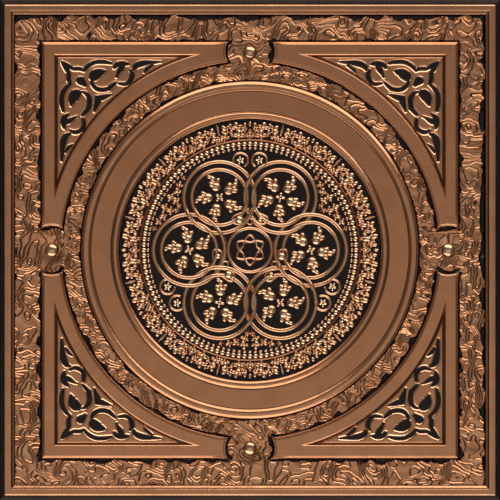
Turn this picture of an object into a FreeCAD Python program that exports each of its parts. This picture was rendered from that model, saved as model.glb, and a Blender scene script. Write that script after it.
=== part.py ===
"""Pressed tin ceiling tile: one embossed sheet on the 24 inch ceiling module.

The sheet is drawn as it is pressed, between a die and a punch. Every raised form is made twice, once as
the die leaves it on the face and once drawn in by one gauge as the punch fills it from behind. The face
forms are joined to the flat sheet and the punch forms are cut out of its back, so the wall keeps its gauge
over rail, burl field, panels, bosses and ring. The medallion's strands and leaves are too fine for a punch
of their own and stay filled. The burl field is raised by its mean level and has only its main swells,
without the fine contours.

The origin is the centre of the back. +Z points out of the decorated face and +Y is the top of the tile.
"""
import FreeCAD, Part
import Sketcher
import os

# Driving dimensions: name, value in millimetres or degrees, meaning. Levels are measured from the back.
SIZES = (
    ("tile_side", 609.6, "side of the square sheet"),
    ("gauge", 0.45, "thickness of the sheet"),
    ("wall_draft", 20, "lean of the pressed walls, degrees from upright"),
    ("flange_width", 4.6, "flat nailing edge outside the rail"),
    ("rail_height", 9.5, "level of the rail's top"),
    ("rail_width", 7.7, "flat top of the rail"),
    ("ledge_height", 5.5, "level of the small step inside the rail"),
    ("ledge_width", 2.2, "flat top of the small step"),
    ("channel_width", 34, "field between the step and the corner panels, between top edges"),
    ("panel_height", 6.5, "level of the corner panels"),
    ("panel_border", 14, "flat border on a panel's straight sides"),
    ("arc_border", 15, "flat border on a panel's curved side"),
    ("spandrel_depth", 1.5, "depth of the sunk spandrel below the panel"),
    ("panel_gap", 26.2, "field between the ring's shoulder and the panels' curved side"),
    ("burl_height", 3, "mean level of the burl field"),
    ("swell_count", 7, "main swells of the burl along each side"),
    ("swell_pitch", 76, "distance from one swell to the next"),
    ("swell_shift", 3.5, "distance of a swell from the middle of the channel, to either side by turns"),
    ("swell_turn", 16, "turn of a swell from the side's direction, either way by turns, degrees"),
    ("swell_length", 46, "length of a swell"),
    ("swell_width", 17, "width of a swell"),
    ("swell_height", 4.7, "level of a swell's ridge"),
    ("boss_radius", 8, "foot of the round boss at the middle of each side, on the burl field"),
    ("boss_height", 6.2, "level of a boss's top"),
    ("boss_clearing", 30, "radius of the panel ends, hollowed round the boss"),
    ("ring_radius", 198.5, "radius of the ring's outer bead, at the middle of its crest"),
    ("ring_height", 8.6, "level of the outer bead's crest"),
    ("bead_width", 9.6, "width of the outer bead"),
    ("bead_crest", 4, "flat crest of the outer bead"),
    ("band_height", 6.2, "level of the ring's flat band"),
    ("lip_radius", 163.7, "radius of the ring's inner bead, at the middle of its crest"),
    ("lip_height", 7.8, "level of the inner bead's crest"),
    ("lip_width", 6.8, "width of the inner bead"),
    ("lip_crest", 2.8, "flat crest of the inner bead"),
    ("strand_draft", 35, "lean of the ornament's sides, degrees from upright"),
    ("strand_height", 2.6, "level of the loops' tops"),
    ("strand_flat", 2.2, "flat top of a loop strand"),
    ("course_radius", 128.0, "radius of the beaded course"),
    ("course_flat", 2.4, "flat top of the beaded course"),
    ("loop_count", 6, "double loops round the centre"),
    ("loop_pitch", 73.8, "centre of the tile to the centre of a loop"),
    ("loop_outer", 43.2, "radius of a loop's outer strand"),
    ("loop_inner", 33.6, "radius of a loop's inner strand"),
    ("eye_radius", 26.5, "radius of the ring round the centre"),
    ("curl_count", 5, "curled leaves in a loop"),
    ("curl_pitch", 18.2, "centre of a loop to the middle of a curled leaf"),
    ("curl_start", -12.6, "turn of the first curled leaf, degrees from the loop's own direction"),
    ("curl_length", 16, "length of a curled leaf"),
    ("curl_width", 10, "width of a curled leaf"),
    ("curl_height", 3.4, "level of a curled leaf's ridge"),
    ("tent_count", 12, "pairs of leaves in the leaf band"),
    ("leaf_radius", 146.6, "radius of the leaf band, at the middle of its leaves"),
    ("leaf_spread", 6.2, "turn of a leaf from the middle of its pair, degrees"),
    ("leaf_length", 18, "length of a leaf"),
    ("leaf_width", 9.5, "width of a leaf"),
    ("leaf_height", 3.2, "level of a leaf's ridge"),
    ("overrun", 1, "extra length of a cutting form past the face that it opens"),
)

doc = FreeCAD.newDocument("PressedCeilingTile")
sheet = doc.addObject("Spreadsheet::Sheet", "Sizes")
for row, (alias, value, meaning) in enumerate(SIZES, start=1):
    sheet.set(f"A{row}", meaning)
    sheet.set(f"B{row}", str(value))
    sheet.setAlias(f"B{row}", alias)
doc.recompute()


def size(alias):
    """Expression that reads one driving dimension."""
    return f"Sizes.{alias}"


def number(expression):
    """Present value of an expression."""
    return float(sheet.evalExpression(expression))


WALL = size("wall_draft")
STRAND = size("strand_draft")

# Places that follow from the driving dimensions, from the tile's edge inwards
RAIL_EDGE = f"(Sizes.tile_side/2 - Sizes.flange_width - Sizes.rail_height*tan({WALL}))"
RAIL_INNER = f"({RAIL_EDGE} - Sizes.rail_width)"
LEDGE_INNER = f"({RAIL_INNER} - (Sizes.rail_height - Sizes.ledge_height)*tan({WALL}) - Sizes.ledge_width)"
PANEL_EDGE = f"({LEDGE_INNER} - Sizes.channel_width)"
SPANDREL_EDGE = f"({PANEL_EDGE} - Sizes.panel_border)"
SPANDREL_FLOOR = "(Sizes.panel_height - Sizes.spandrel_depth)"

# Places that follow from the ring outwards
PANEL_ARC = "(Sizes.ring_radius + Sizes.bead_width/2 + Sizes.panel_gap)"
SPANDREL_ARC = f"({PANEL_ARC} + Sizes.arc_border)"
BOSS_PITCH = f"(({PANEL_EDGE} + {PANEL_ARC})/2)"
CHANNEL_MIDDLE = f"({LEDGE_INNER} - Sizes.channel_width/2)"


# Ball that a boss is the cap of, and the level of its centre
BOSS_RISE = "(Sizes.boss_height - Sizes.burl_height)"
BOSS_BALL = f"((Sizes.boss_radius*Sizes.boss_radius/{BOSS_RISE} + {BOSS_RISE})/2)"
BOSS_LEVEL = f"(Sizes.boss_height - {BOSS_BALL})"

SIDES = 4
PIN_FACES = 8
RAISED = 1
SUNK = -1


class Face:
    """One face of the sheet, with the skin that its forms are drawn in by and the level they start from."""

    def __init__(self, name, skin, foot):
        self.name = name
        self.skin = skin
        self.foot = foot

    def add(self, kind, name):
        """New object of the document, named after this face."""
        return doc.addObject(kind, f"{self.name}_{name}")

    def level(self, height):
        """Level of a flat top or floor, one skin below the face."""
        return f"({height} - {self.skin})"

    def wall(self, edge, crest, level, lean, draft):
        """Distance of a leaning wall from its centre at a level, for a top edge given at its crest."""
        run = f"({crest} - {level})*tan({draft})"
        return f"({edge} + {lean}*({run} - {self.skin}/cos({draft})))"


FRONT = Face("front", "0", "0")
BACK = Face("back", size("gauge"), f"(-{size('overrun')})")


def bind(item, **expressions):
    """Tie properties of an object to expressions; a double underscore stands for a dot in a path."""
    for path, expression in expressions.items():
        item.setExpression(path.replace("__", "."), str(expression))
    return item


def square_form(face, name, edge, crest, low, high, lean):
    """Square block with leaning walls between two levels, centred on the tile."""
    block = face.add("Part::Wedge", name)
    half_low = face.wall(edge, crest, low, lean, WALL)
    half_high = face.wall(edge, crest, high, lean, WALL)
    bind(block, Ymin=low, Ymax=high)
    bind(block, Xmin=f"-{half_low}", Xmax=half_low, Zmin=f"-{half_low}", Zmax=half_low)
    bind(block, X2min=f"-{half_high}", X2max=half_high, Z2min=f"-{half_high}", Z2max=half_high)
    block.Placement = FreeCAD.Placement(FreeCAD.Vector(), FreeCAD.Rotation(FreeCAD.Vector(1, 0, 0), 90))
    return block


def round_form(face, name, edge, crest, low, high, lean, draft=WALL, centre=("0", "0")):
    """Round block with leaning walls between two levels."""
    cone = face.add("Part::Cone", name)
    bind(cone, Radius1=face.wall(edge, crest, low, lean, draft))
    bind(cone, Radius2=face.wall(edge, crest, high, lean, draft))
    bind(cone, Height=f"{high} - {low}")
    bind(cone, Placement__Base__x=centre[0], Placement__Base__y=centre[1], Placement__Base__z=low)
    return cone


def fuse(face, name, shapes):
    """Union of several forms."""
    union = face.add("Part::MultiFuse", name)
    union.Shapes = shapes
    return union


def cut(face, name, base, tool):
    """One form less another."""
    difference = face.add("Part::Cut", name)
    difference.Base = base
    difference.Tool = tool
    return difference


def polar(radius, turn):
    """Place at a radius and a turn in degrees about the middle of the tile."""
    return f"({radius}*cos({turn}))", f"({radius}*sin({turn}))"


def around(pitch, count, index):
    """Centre of one of several places spaced evenly on a circle, the first on +X."""
    return polar(pitch, f"(360/{count}*{index})")


def rail(face):
    """Raised rail round the tile, with the small step on its inner side."""
    crest = size("rail_height")
    step = size("ledge_height")
    block = square_form(face, "rail_block", RAIL_EDGE, crest, face.foot, face.level(crest), RAISED)
    over_rail = f"({crest} + Sizes.overrun)"
    well = square_form(face, "rail_well", RAIL_INNER, crest, face.level(step), over_rail, SUNK)
    over_step = f"({step} + Sizes.overrun)"
    field = square_form(face, "field_well", LEDGE_INNER, step, face.foot, over_step, SUNK)
    return cut(face, "rail", block, fuse(face, "rail_inside", [well, field]))


def burl_field(face):
    """Field between rail and ring, raised as one bed that runs on inside both."""
    level = size("burl_height")
    over = f"({level} + Sizes.overrun)"
    bed = square_form(face, "burl_bed", RAIL_INNER, level, face.foot, face.level(level), RAISED)
    well = round_form(face, "burl_well", size("ring_radius"), level, face.foot, over, SUNK)
    return cut(face, "burl_field", bed, well)


def corner_panels(face):
    """Four corner panels with curved inner sides, hollowed ends and sunk spandrels."""
    crest = size("panel_height")
    over = f"({crest} + Sizes.overrun)"
    block = square_form(face, "panel_block", PANEL_EDGE, crest, face.foot, face.level(crest), RAISED)
    hollows = [round_form(face, "panel_round", PANEL_ARC, crest, face.foot, over, SUNK)]
    clearing = size("boss_clearing")
    for side in range(SIDES):
        centre = around(BOSS_PITCH, SIDES, side)
        end = round_form(face, f"panel_end_{side}", clearing, crest, face.foot, over, SUNK, centre=centre)
        hollows.append(end)
    floor = face.level(SPANDREL_FLOOR)
    corner = square_form(face, "spandrel_square", SPANDREL_EDGE, crest, floor, over, SUNK)
    core = round_form(face, "spandrel_core", SPANDREL_ARC, crest, floor, over, RAISED)
    hollows.append(cut(face, "spandrels", corner, core))
    return cut(face, "corner_panels", block, fuse(face, "panel_hollows", hollows))


def ring_section(face):
    """Section of the ring: a plateau with leaning walls, with a flat-crested bead along each edge."""
    band = size("band_height")
    foot = f"({face.foot} - {face.skin})"
    shoulder_out = "(Sizes.ring_radius + Sizes.bead_width/2)"
    shoulder_in = "(Sizes.lip_radius - Sizes.lip_width/2)"
    run = f"({band} - {foot})*tan({WALL})"
    corners = [
        (f"({shoulder_out} + {run})", foot),
        (shoulder_out, band),
        ("(Sizes.ring_radius + Sizes.bead_crest/2)", size("ring_height")),
        ("(Sizes.ring_radius - Sizes.bead_crest/2)", size("ring_height")),
        ("(Sizes.ring_radius - Sizes.bead_width/2)", band),
        ("(Sizes.lip_radius + Sizes.lip_width/2)", band),
        ("(Sizes.lip_radius + Sizes.lip_crest/2)", size("lip_height")),
        ("(Sizes.lip_radius - Sizes.lip_crest/2)", size("lip_height")),
        (shoulder_in, band),
        (f"({shoulder_in} - {run})", foot),
    ]
    profile = face.add("Sketcher::SketchObject", "ring_section")
    profile.Placement = FreeCAD.Placement(FreeCAD.Vector(), FreeCAD.Rotation(FreeCAD.Vector(1, 0, 0), 90))
    points = [FreeCAD.Vector(number(x), number(y), 0) for x, y in corners]
    count = len(points)
    start, end = 1, 2
    for edge in range(count):
        profile.addGeometry(Part.LineSegment(points[edge], points[(edge + 1) % count]))
    for edge, (x, y) in enumerate(corners):
        profile.addConstraint(Sketcher.Constraint("Coincident", edge, end, (edge + 1) % count, start))
        for kind, expression in (("DistanceX", x), ("DistanceY", y)):
            tie = Sketcher.Constraint(kind, edge, start, number(expression))
            profile.setExpression(f"Constraints[{profile.addConstraint(tie)}]", expression)
    return profile


def ring(face):
    """Turned ring moulding between the field and the medallion."""
    section = ring_section(face)
    if face is BACK:
        drawn_in = face.add("Part::Offset2D", "ring_section_drawn_in")
        drawn_in.Source = section
        drawn_in.Mode = "Pipe"
        drawn_in.Join = "Intersection"
        bind(drawn_in, Value=f"-{face.skin}")
        section = drawn_in
    turned = face.add("Part::Revolution", "ring")
    turned.Source = section
    turned.Axis = FreeCAD.Vector(0, 0, 1)
    turned.Angle = 360
    turned.Solid = True
    return turned


def ridge(face, name, radius, flat, height, centre=("0", "0")):
    """Flat-topped ridge that runs in a circle."""
    outside = f"({radius} + {flat}/2)"
    inside = f"({radius} - {flat}/2)"
    top = face.level(height)
    over = f"({height} + Sizes.overrun)"
    disc = round_form(face, f"{name}_disc", outside, height, face.foot, top, RAISED, STRAND, centre)
    hole = round_form(face, f"{name}_hole", inside, height, face.foot, over, SUNK, STRAND, centre)
    return cut(face, name, disc, hole)


def mound(name, centre, turn, length, width, height, low=FRONT.foot):
    """Hipped mound with an even pitch, its ridge along a turn in degrees."""
    hip = FRONT.add("Part::Wedge", name)
    ridge_half = f"(({length} - {width})/2)"
    bind(hip, Ymin=low, Ymax=height)
    bind(hip, Xmin=f"-{length}/2", Xmax=f"{length}/2", Zmin=f"-{width}/2", Zmax=f"{width}/2")
    bind(hip, X2min=f"-{ridge_half}", X2max=ridge_half, Z2min="0", Z2max="0")
    hip.Placement = FreeCAD.Placement(FreeCAD.Vector(), FreeCAD.Rotation(number(turn), 0, 90))
    bind(hip, Placement__Base__x=centre[0], Placement__Base__y=centre[1])
    return hip


def burl_swells():
    """Main swells of the burl, in a row along the channel on every side, turned and shifted by turns."""
    swells = []
    shape = size("swell_length"), size("swell_width"), size("swell_height")
    low = "(Sizes.burl_height - Sizes.gauge/2)"
    for side in range(SIDES):
        out = f"(360/{SIDES}*{side})"
        for index in range(int(number(size("swell_count")))):
            lean = (-1) ** index
            along = f"(({index} - (Sizes.swell_count - 1)/2)*Sizes.swell_pitch)"
            across = f"({CHANNEL_MIDDLE} + {lean}*Sizes.swell_shift)"
            spot = (
                f"({across}*cos({out}) - {along}*sin({out}))",
                f"({across}*sin({out}) + {along}*cos({out}))",
            )
            turn = f"({out} + 90 + {lean}*Sizes.swell_turn)"
            swells.append(mound(f"swell_{side}_{index}", spot, turn, *shape, low))
    return fuse(FRONT, "burl_swells", swells)


def leaf_band():
    """Pairs of leaves that stand round the beaded course."""
    leaves = []
    shape = size("leaf_length"), size("leaf_width"), size("leaf_height")
    for tent in range(int(number(size("tent_count")))):
        for side in (-1, 1):
            turn = f"(360/Sizes.tent_count*{tent} + {side}*Sizes.leaf_spread)"
            spot = polar(size("leaf_radius"), turn)
            leaves.append(mound(f"band_leaf_{tent}_{side > 0:d}", spot, turn, *shape))
    return leaves


def curled_leaves():
    """Whirl of curled leaves inside every loop."""
    leaves = []
    shape = size("curl_length"), size("curl_width"), size("curl_height")
    for loop in range(int(number(size("loop_count")))):
        middle = around(size("loop_pitch"), size("loop_count"), loop)
        for index in range(int(number(size("curl_count")))):
            turn = f"(360/Sizes.loop_count*{loop} + Sizes.curl_start + 360/Sizes.curl_count*{index})"
            off = polar(size("curl_pitch"), turn)
            spot = f"{middle[0]} + {off[0]}", f"{middle[1]} + {off[1]}"
            leaves.append(mound(f"curl_{loop}_{index}", spot, turn, *shape))
    return leaves


def medallion():
    """Medallion: beaded course, double loops, the ring round the centre, and the leaves."""
    strand = size("strand_height")
    flat = size("strand_flat")
    lines = [
        ridge(FRONT, "course", size("course_radius"), size("course_flat"), strand),
        ridge(FRONT, "eye", size("eye_radius"), flat, strand),
    ]
    for index in range(int(number(size("loop_count")))):
        centre = around(size("loop_pitch"), size("loop_count"), index)
        lines.append(ridge(FRONT, f"outer_loop_{index}", size("loop_outer"), flat, strand, centre))
        lines.append(ridge(FRONT, f"inner_loop_{index}", size("loop_inner"), flat, strand, centre))
    return fuse(FRONT, "medallion", lines + leaf_band() + curled_leaves())


def bosses():
    """Round boss on the burl field at the middle of each side, the cap of a ball."""
    caps = []
    for side in range(SIDES):
        cap = FRONT.add("Part::Sphere", f"boss_{side}")
        x, y = around(BOSS_PITCH, SIDES, side)
        bind(cap, Radius=BOSS_BALL, Angle1=f"asin(({BOSS_BALL} - Sizes.boss_height)/{BOSS_BALL})")
        bind(cap, Placement__Base__x=x, Placement__Base__y=y, Placement__Base__z=BOSS_LEVEL)
        caps.append(cap)
    return fuse(FRONT, "bosses", caps)


def boss_punches():
    """Blunt pin of few faces behind each boss, as tall as leaves one gauge of wall at its rim."""
    pins = []
    radius = "(Sizes.boss_radius/2)"
    inside = f"({BOSS_BALL} - Sizes.gauge)"
    rim = f"({BOSS_LEVEL} + sqrt({inside}*{inside} - {radius}*{radius}))"
    for side in range(SIDES):
        pin = BACK.add("Part::Prism", f"boss_{side}")
        pin.Polygon = PIN_FACES
        x, y = around(BOSS_PITCH, SIDES, side)
        bind(pin, Circumradius=radius, Height=f"{rim} - {BACK.foot}")
        bind(pin, Placement__Base__x=x, Placement__Base__y=y, Placement__Base__z=BACK.foot)
        pins.append(pin)
    return fuse(BACK, "bosses", pins)


def flat_sheet():
    """The sheet before pressing."""
    plate = FRONT.add("Part::Box", "flat_sheet")
    bind(plate, Length=size("tile_side"), Width=size("tile_side"), Height=size("gauge"))
    bind(plate, Placement__Base__x="-Sizes.tile_side/2", Placement__Base__y="-Sizes.tile_side/2")
    return plate


def pressed_forms(face):
    """Wide forms that the tools press through the sheet, for one face."""
    return [rail(face), burl_field(face), corner_panels(face), ring(face)]


face_forms = pressed_forms(FRONT) + [burl_swells(), bosses(), medallion()]
die = fuse(FRONT, "die", [flat_sheet()] + face_forms)
punch = fuse(BACK, "punch", pressed_forms(BACK) + [boss_punches()])
tile = doc.addObject("Part::Cut", "PressedSheet")
tile.Base = die
tile.Tool = punch
tile.Label = "pressed_sheet"
doc.recompute()

for item in doc.Objects:
    if {"Invalid", "Error"} & set(item.State):
        raise RuntimeError(f"{item.Name} did not compute: {item.State}")
if tile.Shape.isNull() or not tile.Shape.isValid() or len(tile.Shape.Solids) != 1:
    raise RuntimeError("the pressed sheet is not one valid solid")

os.makedirs("parts", exist_ok=True)
tile.Shape.exportStep(f"parts/{tile.Label}.step")
box = tile.Shape.BoundBox
print(f"{tile.Label}: {box.XLength:.1f} x {box.YLength:.1f} x {box.ZLength:.2f} mm")
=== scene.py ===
"""Pressed metal ceiling tile: the dressed model, its studio and its camera.

Shapes are worked out in millimetres as whole arrays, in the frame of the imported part: the origin
lies under the middle of the tile, +Z points to the room and +Y to the top of the picture. They turn
to metres when a mesh is made.
"""

import logging
import math
from collections.abc import Sequence
from dataclasses import dataclass
from enum import Enum

import bpy
import numpy as np
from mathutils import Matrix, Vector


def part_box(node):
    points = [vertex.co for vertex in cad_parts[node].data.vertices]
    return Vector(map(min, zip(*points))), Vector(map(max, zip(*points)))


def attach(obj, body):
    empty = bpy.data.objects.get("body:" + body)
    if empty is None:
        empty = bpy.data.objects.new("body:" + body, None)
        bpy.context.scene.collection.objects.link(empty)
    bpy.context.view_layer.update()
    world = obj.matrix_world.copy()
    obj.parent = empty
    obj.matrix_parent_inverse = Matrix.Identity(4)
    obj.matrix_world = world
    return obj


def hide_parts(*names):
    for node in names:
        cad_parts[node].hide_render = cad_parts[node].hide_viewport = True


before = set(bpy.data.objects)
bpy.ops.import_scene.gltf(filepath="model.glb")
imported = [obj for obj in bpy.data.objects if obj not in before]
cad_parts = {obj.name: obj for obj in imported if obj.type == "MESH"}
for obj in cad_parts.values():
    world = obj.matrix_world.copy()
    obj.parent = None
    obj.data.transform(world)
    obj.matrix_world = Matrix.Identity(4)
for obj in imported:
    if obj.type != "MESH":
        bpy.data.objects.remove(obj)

LOG = logging.getLogger("ceiling_tile")
MM = 0.001
BODY = "root"
SHEET_NODE = "pressed_sheet"

# The patina runs from its negative bound, gold worn by rubbing and painted as highlights, over 0, bare
# copper, to 1, black
PATINA = "patina"
GILT_AND_HIGHLIGHT = 0.4
STRAND_TONE = -0.09


@dataclass
class Shell:
    """A polygon surface in millimetres.

    Attributes:
        points: vertex places, one row each.
        faces: blocks of corner indexes, every block with one number of corners.
        patina: tone of each vertex, from the negative bound for gold, worn by rubbing and painted as
        highlights, over 0 for bare copper to 1 for black.
    """

    points: np.ndarray
    faces: list[np.ndarray]
    patina: np.ndarray

    def turned(self, degrees: float) -> "Shell":
        """Return a copy turned about the tile's axis by an angle in degrees."""
        return self.stamped([(0.0, 0.0, degrees, 1.0)])

    def around(self, count: int, start: float = 0.0) -> "Shell":
        """Return equal copies round the tile's axis, the first turned by the start in degrees."""
        return self.stamped([(0.0, 0.0, start + 360.0 / count * k, 1.0) for k in range(count)])

    def mirrored(self) -> "Shell":
        """Return a copy mirrored in the X axis, with its faces turned the right way again."""
        faces = [block[:, ::-1] for block in self.faces]
        return Shell(self.points * (1.0, -1.0, 1.0), faces, self.patina)

    def stamped(self, places: Sequence[tuple[float, float, float, float]]) -> "Shell":
        """Repeat the shell at many places of the sheet.

        Each copy is scaled about the origin in the plane, turned, and moved: x becomes
        s (x cos a - y sin a) + x0, and y likewise; the height stays.

        Args:
            places: rows of x, y, turn in degrees and scale.

        Returns:
            One shell that holds all the copies.
        """
        rows = np.asarray(places, float).reshape(-1, 4)
        cosine = (np.cos(np.radians(rows[:, 2])) * rows[:, 3])[:, None]
        sine = (np.sin(np.radians(rows[:, 2])) * rows[:, 3])[:, None]
        x, y, z = self.points.T
        points = np.stack(
            [
                cosine * x - sine * y + rows[:, :1],
                sine * x + cosine * y + rows[:, 1:2],
                np.broadcast_to(z, (len(rows), len(z))),
            ],
            axis=-1,
        ).reshape(-1, 3)
        shift = np.arange(len(rows))[:, None, None] * len(x)
        faces = [(block[None] + shift).reshape(-1, block.shape[1]) for block in self.faces]
        return Shell(points, faces, np.tile(self.patina, len(rows)))


def joined(shells: Sequence[Shell]) -> Shell:
    """Put several shells into one, each keeping its own vertices.

    Args:
        shells: the shells, in order.

    Returns:
        The shell with all their points and faces.
    """
    faces: list[np.ndarray] = []
    shift = 0
    for shell in shells:
        faces += [block + shift for block in shell.faces]
        shift += len(shell.points)
    points = np.concatenate([shell.points for shell in shells])
    return Shell(points, faces, np.concatenate([shell.patina for shell in shells]))


def grid_quads(rows: int, columns: int, wrap_rows: bool, wrap_columns: bool) -> np.ndarray:
    """Index the four corners of every cell of a grid of points.

    The faces point along the row direction crossed with the column direction.

    Args:
        rows: number of rows.
        columns: number of columns.
        wrap_rows: whether the last row meets the first.
        wrap_columns: whether the last column meets the first.

    Returns:
        Corner indexes, four to a face.
    """
    index = np.arange(rows * columns).reshape(rows, columns)
    if wrap_rows:
        index = np.vstack([index, index[:1]])
    if wrap_columns:
        index = np.hstack([index, index[:, :1]])
    corners = [index[:-1, :-1], index[1:, :-1], index[1:, 1:], index[:-1, 1:]]
    return np.stack(corners, axis=-1).reshape(-1, 4)


def lattice(points: np.ndarray, patina: np.ndarray, wrap_rows: bool, wrap_columns: bool) -> Shell:
    """Make a shell from a grid of points.

    Args:
        points: places on the grid, as rows by columns by three.
        patina: tone, which may be given for one row or one column.
        wrap_rows: whether the last row meets the first.
        wrap_columns: whether the last column meets the first.

    Returns:
        The shell.
    """
    rows, columns = points.shape[:2]
    quads = grid_quads(rows, columns, wrap_rows, wrap_columns)
    shade = np.broadcast_to(patina, (rows, columns)).ravel()
    return Shell(points.reshape(-1, 3), [quads], shade)


def closed_below(shell: Shell, rim: np.ndarray, bottom: float) -> Shell:
    """Close a raised surface into a solid with a flat underside.

    The rim is copied down to the level of the underside, a skirt joins the two, and one polygon
    covers the copy.

    Args:
        shell: the raised surface.
        rim: its boundary vertices in order, anticlockwise from above.
        bottom: level of the underside.

    Returns:
        The closed shell.
    """
    count = len(shell.points)
    low = shell.points[rim] * (1.0, 1.0, 0.0) + (0.0, 0.0, bottom)
    below = count + np.arange(len(rim))
    skirt = np.stack([rim, below, np.roll(below, -1), np.roll(rim, -1)], axis=-1)
    faces = shell.faces + [skirt, below[::-1][None]]
    points = np.concatenate([shell.points, low])
    return Shell(points, faces, np.concatenate([shell.patina, np.full(len(rim), 0.8)]))


def slab(points: np.ndarray, patina: np.ndarray, bottom: float) -> Shell:
    """Close a whole grid of points, which faces upwards, into a slab with a flat underside.

    Args:
        points: places on the grid.
        patina: tone on the grid.
        bottom: level of the underside.

    Returns:
        The closed shell.
    """
    rows, columns = points.shape[:2]
    index = np.arange(rows * columns).reshape(rows, columns)
    rim = np.concatenate([index[:-1, 0], index[-1, :-1], index[:0:-1, -1], index[0, :0:-1]])
    return closed_below(lattice(points, patina, False, False), rim, bottom)


def smooth(low: float, high: float, value: np.ndarray) -> np.ndarray:
    """Return the smooth step 3 t t - 2 t t t of the value between two bounds."""
    part = np.clip((value - low) / (high - low), 0.0, 1.0)
    return part * part * (3.0 - 2.0 * part)


def bell(value: np.ndarray, middle: float, width: float) -> np.ndarray:
    """Return the bell curve exp(-t t) of the value's distance t from a middle, in widths."""
    return np.exp(-(((value - middle) / width) ** 2))


def spline(knots: Sequence[Sequence[float]], steps: int) -> np.ndarray:
    """Run a smooth curve through knots.

    Between two knots each column, place or width, follows the cubic whose slope at a knot is half
    the difference of the knots beside it.

    Args:
        knots: rows of places and widths.
        steps: points for each span.

    Returns:
        Rows of the same columns along the curve.
    """
    rows = np.asarray(knots, float)
    padded = np.vstack([2 * rows[0] - rows[1], rows, 2 * rows[-1] - rows[-2]])
    place = np.linspace(0, len(rows) - 1, (len(rows) - 1) * steps + 1)
    span = np.minimum(place.astype(int), len(rows) - 2)
    t = (place - span)[:, None]
    before, start, end, after = (padded[span + k] for k in range(4))
    bend = 2 * before - 5 * start + 4 * end - after
    twist = 3 * start - before - 3 * end + after
    return start + 0.5 * t * (end - before + t * (bend + t * twist))


def guarded(stations: np.ndarray, near: float) -> np.ndarray:
    """Add a station close to each end of a row, so that shading stays flat up to the boundary.

    Args:
        stations: places along the row.
        near: distance of the new stations from the ends.

    Returns:
        The longer row.
    """
    step = near * np.sign(stations[-1] - stations[0])
    first, last = stations[:1], stations[-1:]
    return np.concatenate([first, first + step, stations[1:-1], last - step, last])


def noise(x: np.ndarray, y: np.ndarray, seed: int) -> np.ndarray:
    """Return smooth random waves of about one unit across.

    Every corner of a unit grid has a random slope; the value is the slopes' planes, faded into each
    other over the cell.

    Args:
        x: places across.
        y: places up.
        seed: which set of slopes to use.

    Returns:
        Values between about -0.7 and 0.7.
    """
    turns = np.random.default_rng(seed).uniform(0, 2 * math.pi, (256, 256))
    column, row = np.floor(x).astype(int), np.floor(y).astype(int)
    right, up = x - column, y - row

    def plane(i: int, j: int) -> np.ndarray:
        """Return the plane of one corner of each cell."""
        turn = turns[(column + i) % 256, (row + j) % 256]
        return np.cos(turn) * (right - i) + np.sin(turn) * (up - j)

    fade_x = right**3 * (right * (6 * right - 15) + 10)
    fade_y = up**3 * (up * (6 * up - 15) + 10)
    low = plane(0, 0) + fade_x * (plane(1, 0) - plane(0, 0))
    high = plane(0, 1) + fade_x * (plane(1, 1) - plane(0, 1))
    return low + fade_y * (high - low)


@dataclass(frozen=True)
class Waves:
    """Random waves of one kind.

    Attributes:
        size: distance over which they change.
        height: factor on their values.
        seed: which set of random slopes they use.
    """

    size: float
    height: float
    seed: int

    def at(self, x: np.ndarray, y: np.ndarray) -> np.ndarray:
        """Return the waves' values at places across and up."""
        return self.height * noise(x / self.size, y / self.size, self.seed)


@dataclass(frozen=True)
class Bend:
    """One bend of a pressed profile.

    Attributes:
        across: distance along the section, growing towards its inner end.
        level: height of the bend.
        radius: length by which the bend is eased on each side.
        worn: patina on the bend.
        run: patina on the straight run after it.
    """

    across: float
    level: float
    radius: float = 0.0
    worn: float = 0.1
    run: float = 0.2


def pressed_profile(bends: Sequence[Bend], gauge: float, steps: int = 3) -> np.ndarray:
    """Work out the closed section of a bent sheet.

    Each inner bend becomes a curve from one straight run to the next, weighted (1-s)(1-s), 2s(1-s)
    and s s between the run, the bend and the next run, with a guard point a little way off on each
    run. The underside is the same line of bends moved square to itself by the gauge.

    Args:
        bends: the bends of the front, from the outer end to the inner one.
        gauge: thickness of the sheet.
        steps: spans of each curve.

    Returns:
        Rows of distance, level and patina, round the section.
    """
    corner = np.array([(bend.across, bend.level) for bend in bends])
    run = np.diff(corner, axis=0)
    length = np.hypot(run[:, 0], run[:, 1])
    way = run / length[:, None]
    s = np.linspace(0, 1, steps + 1)[:, None]
    rows = [[corner[0, 0], corner[0, 1], bends[0].run]]
    for k, bend in enumerate(bends[1:-1], start=1):
        ease = min(bend.radius, 0.42 * length[k - 1], 0.42 * length[k])
        guard = min(0.2, 0.05 * length[k - 1], 0.05 * length[k])
        start, end = corner[k] - ease * way[k - 1], corner[k] + ease * way[k]
        curve = (1 - s) ** 2 * start + 2 * s * (1 - s) * corner[k] + s**2 * end
        rows.append([*(start - guard * way[k - 1]), bends[k - 1].run])
        rows.extend([*place, bend.worn] for place in curve)
        rows.append([*(end + guard * way[k]), bend.run])
    rows.append([corner[-1, 0], corner[-1, 1], bends[-1].run])
    down = np.stack([way[:, 1], -way[:, 0]], axis=-1)
    first, second = np.vstack([down[:1], down]), np.vstack([down, down[-1:]])
    share = gauge / (1 + np.sum(first * second, axis=1, keepdims=True))
    under = corner + share * (first + second)
    back = np.column_stack([under, np.full(len(under), 0.55)])
    return np.vstack([np.array(rows), back[::-1]])


class Crest(Enum):
    """Cross sections of a raised stroke, as rows of place across and share of the height."""

    ROUND = ((-1, 0), (-0.9, 0.6), (-0.5, 0.8), (-0.1, 0.98), (0.1, 0.98), (0.5, 0.8), (0.9, 0.6), (1, 0))
    LEAF = ((-1, 0), (-0.88, 0.6), (-0.3, 1), (0, 0.74), (0.3, 1), (0.88, 0.6), (1, 0))


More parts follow.
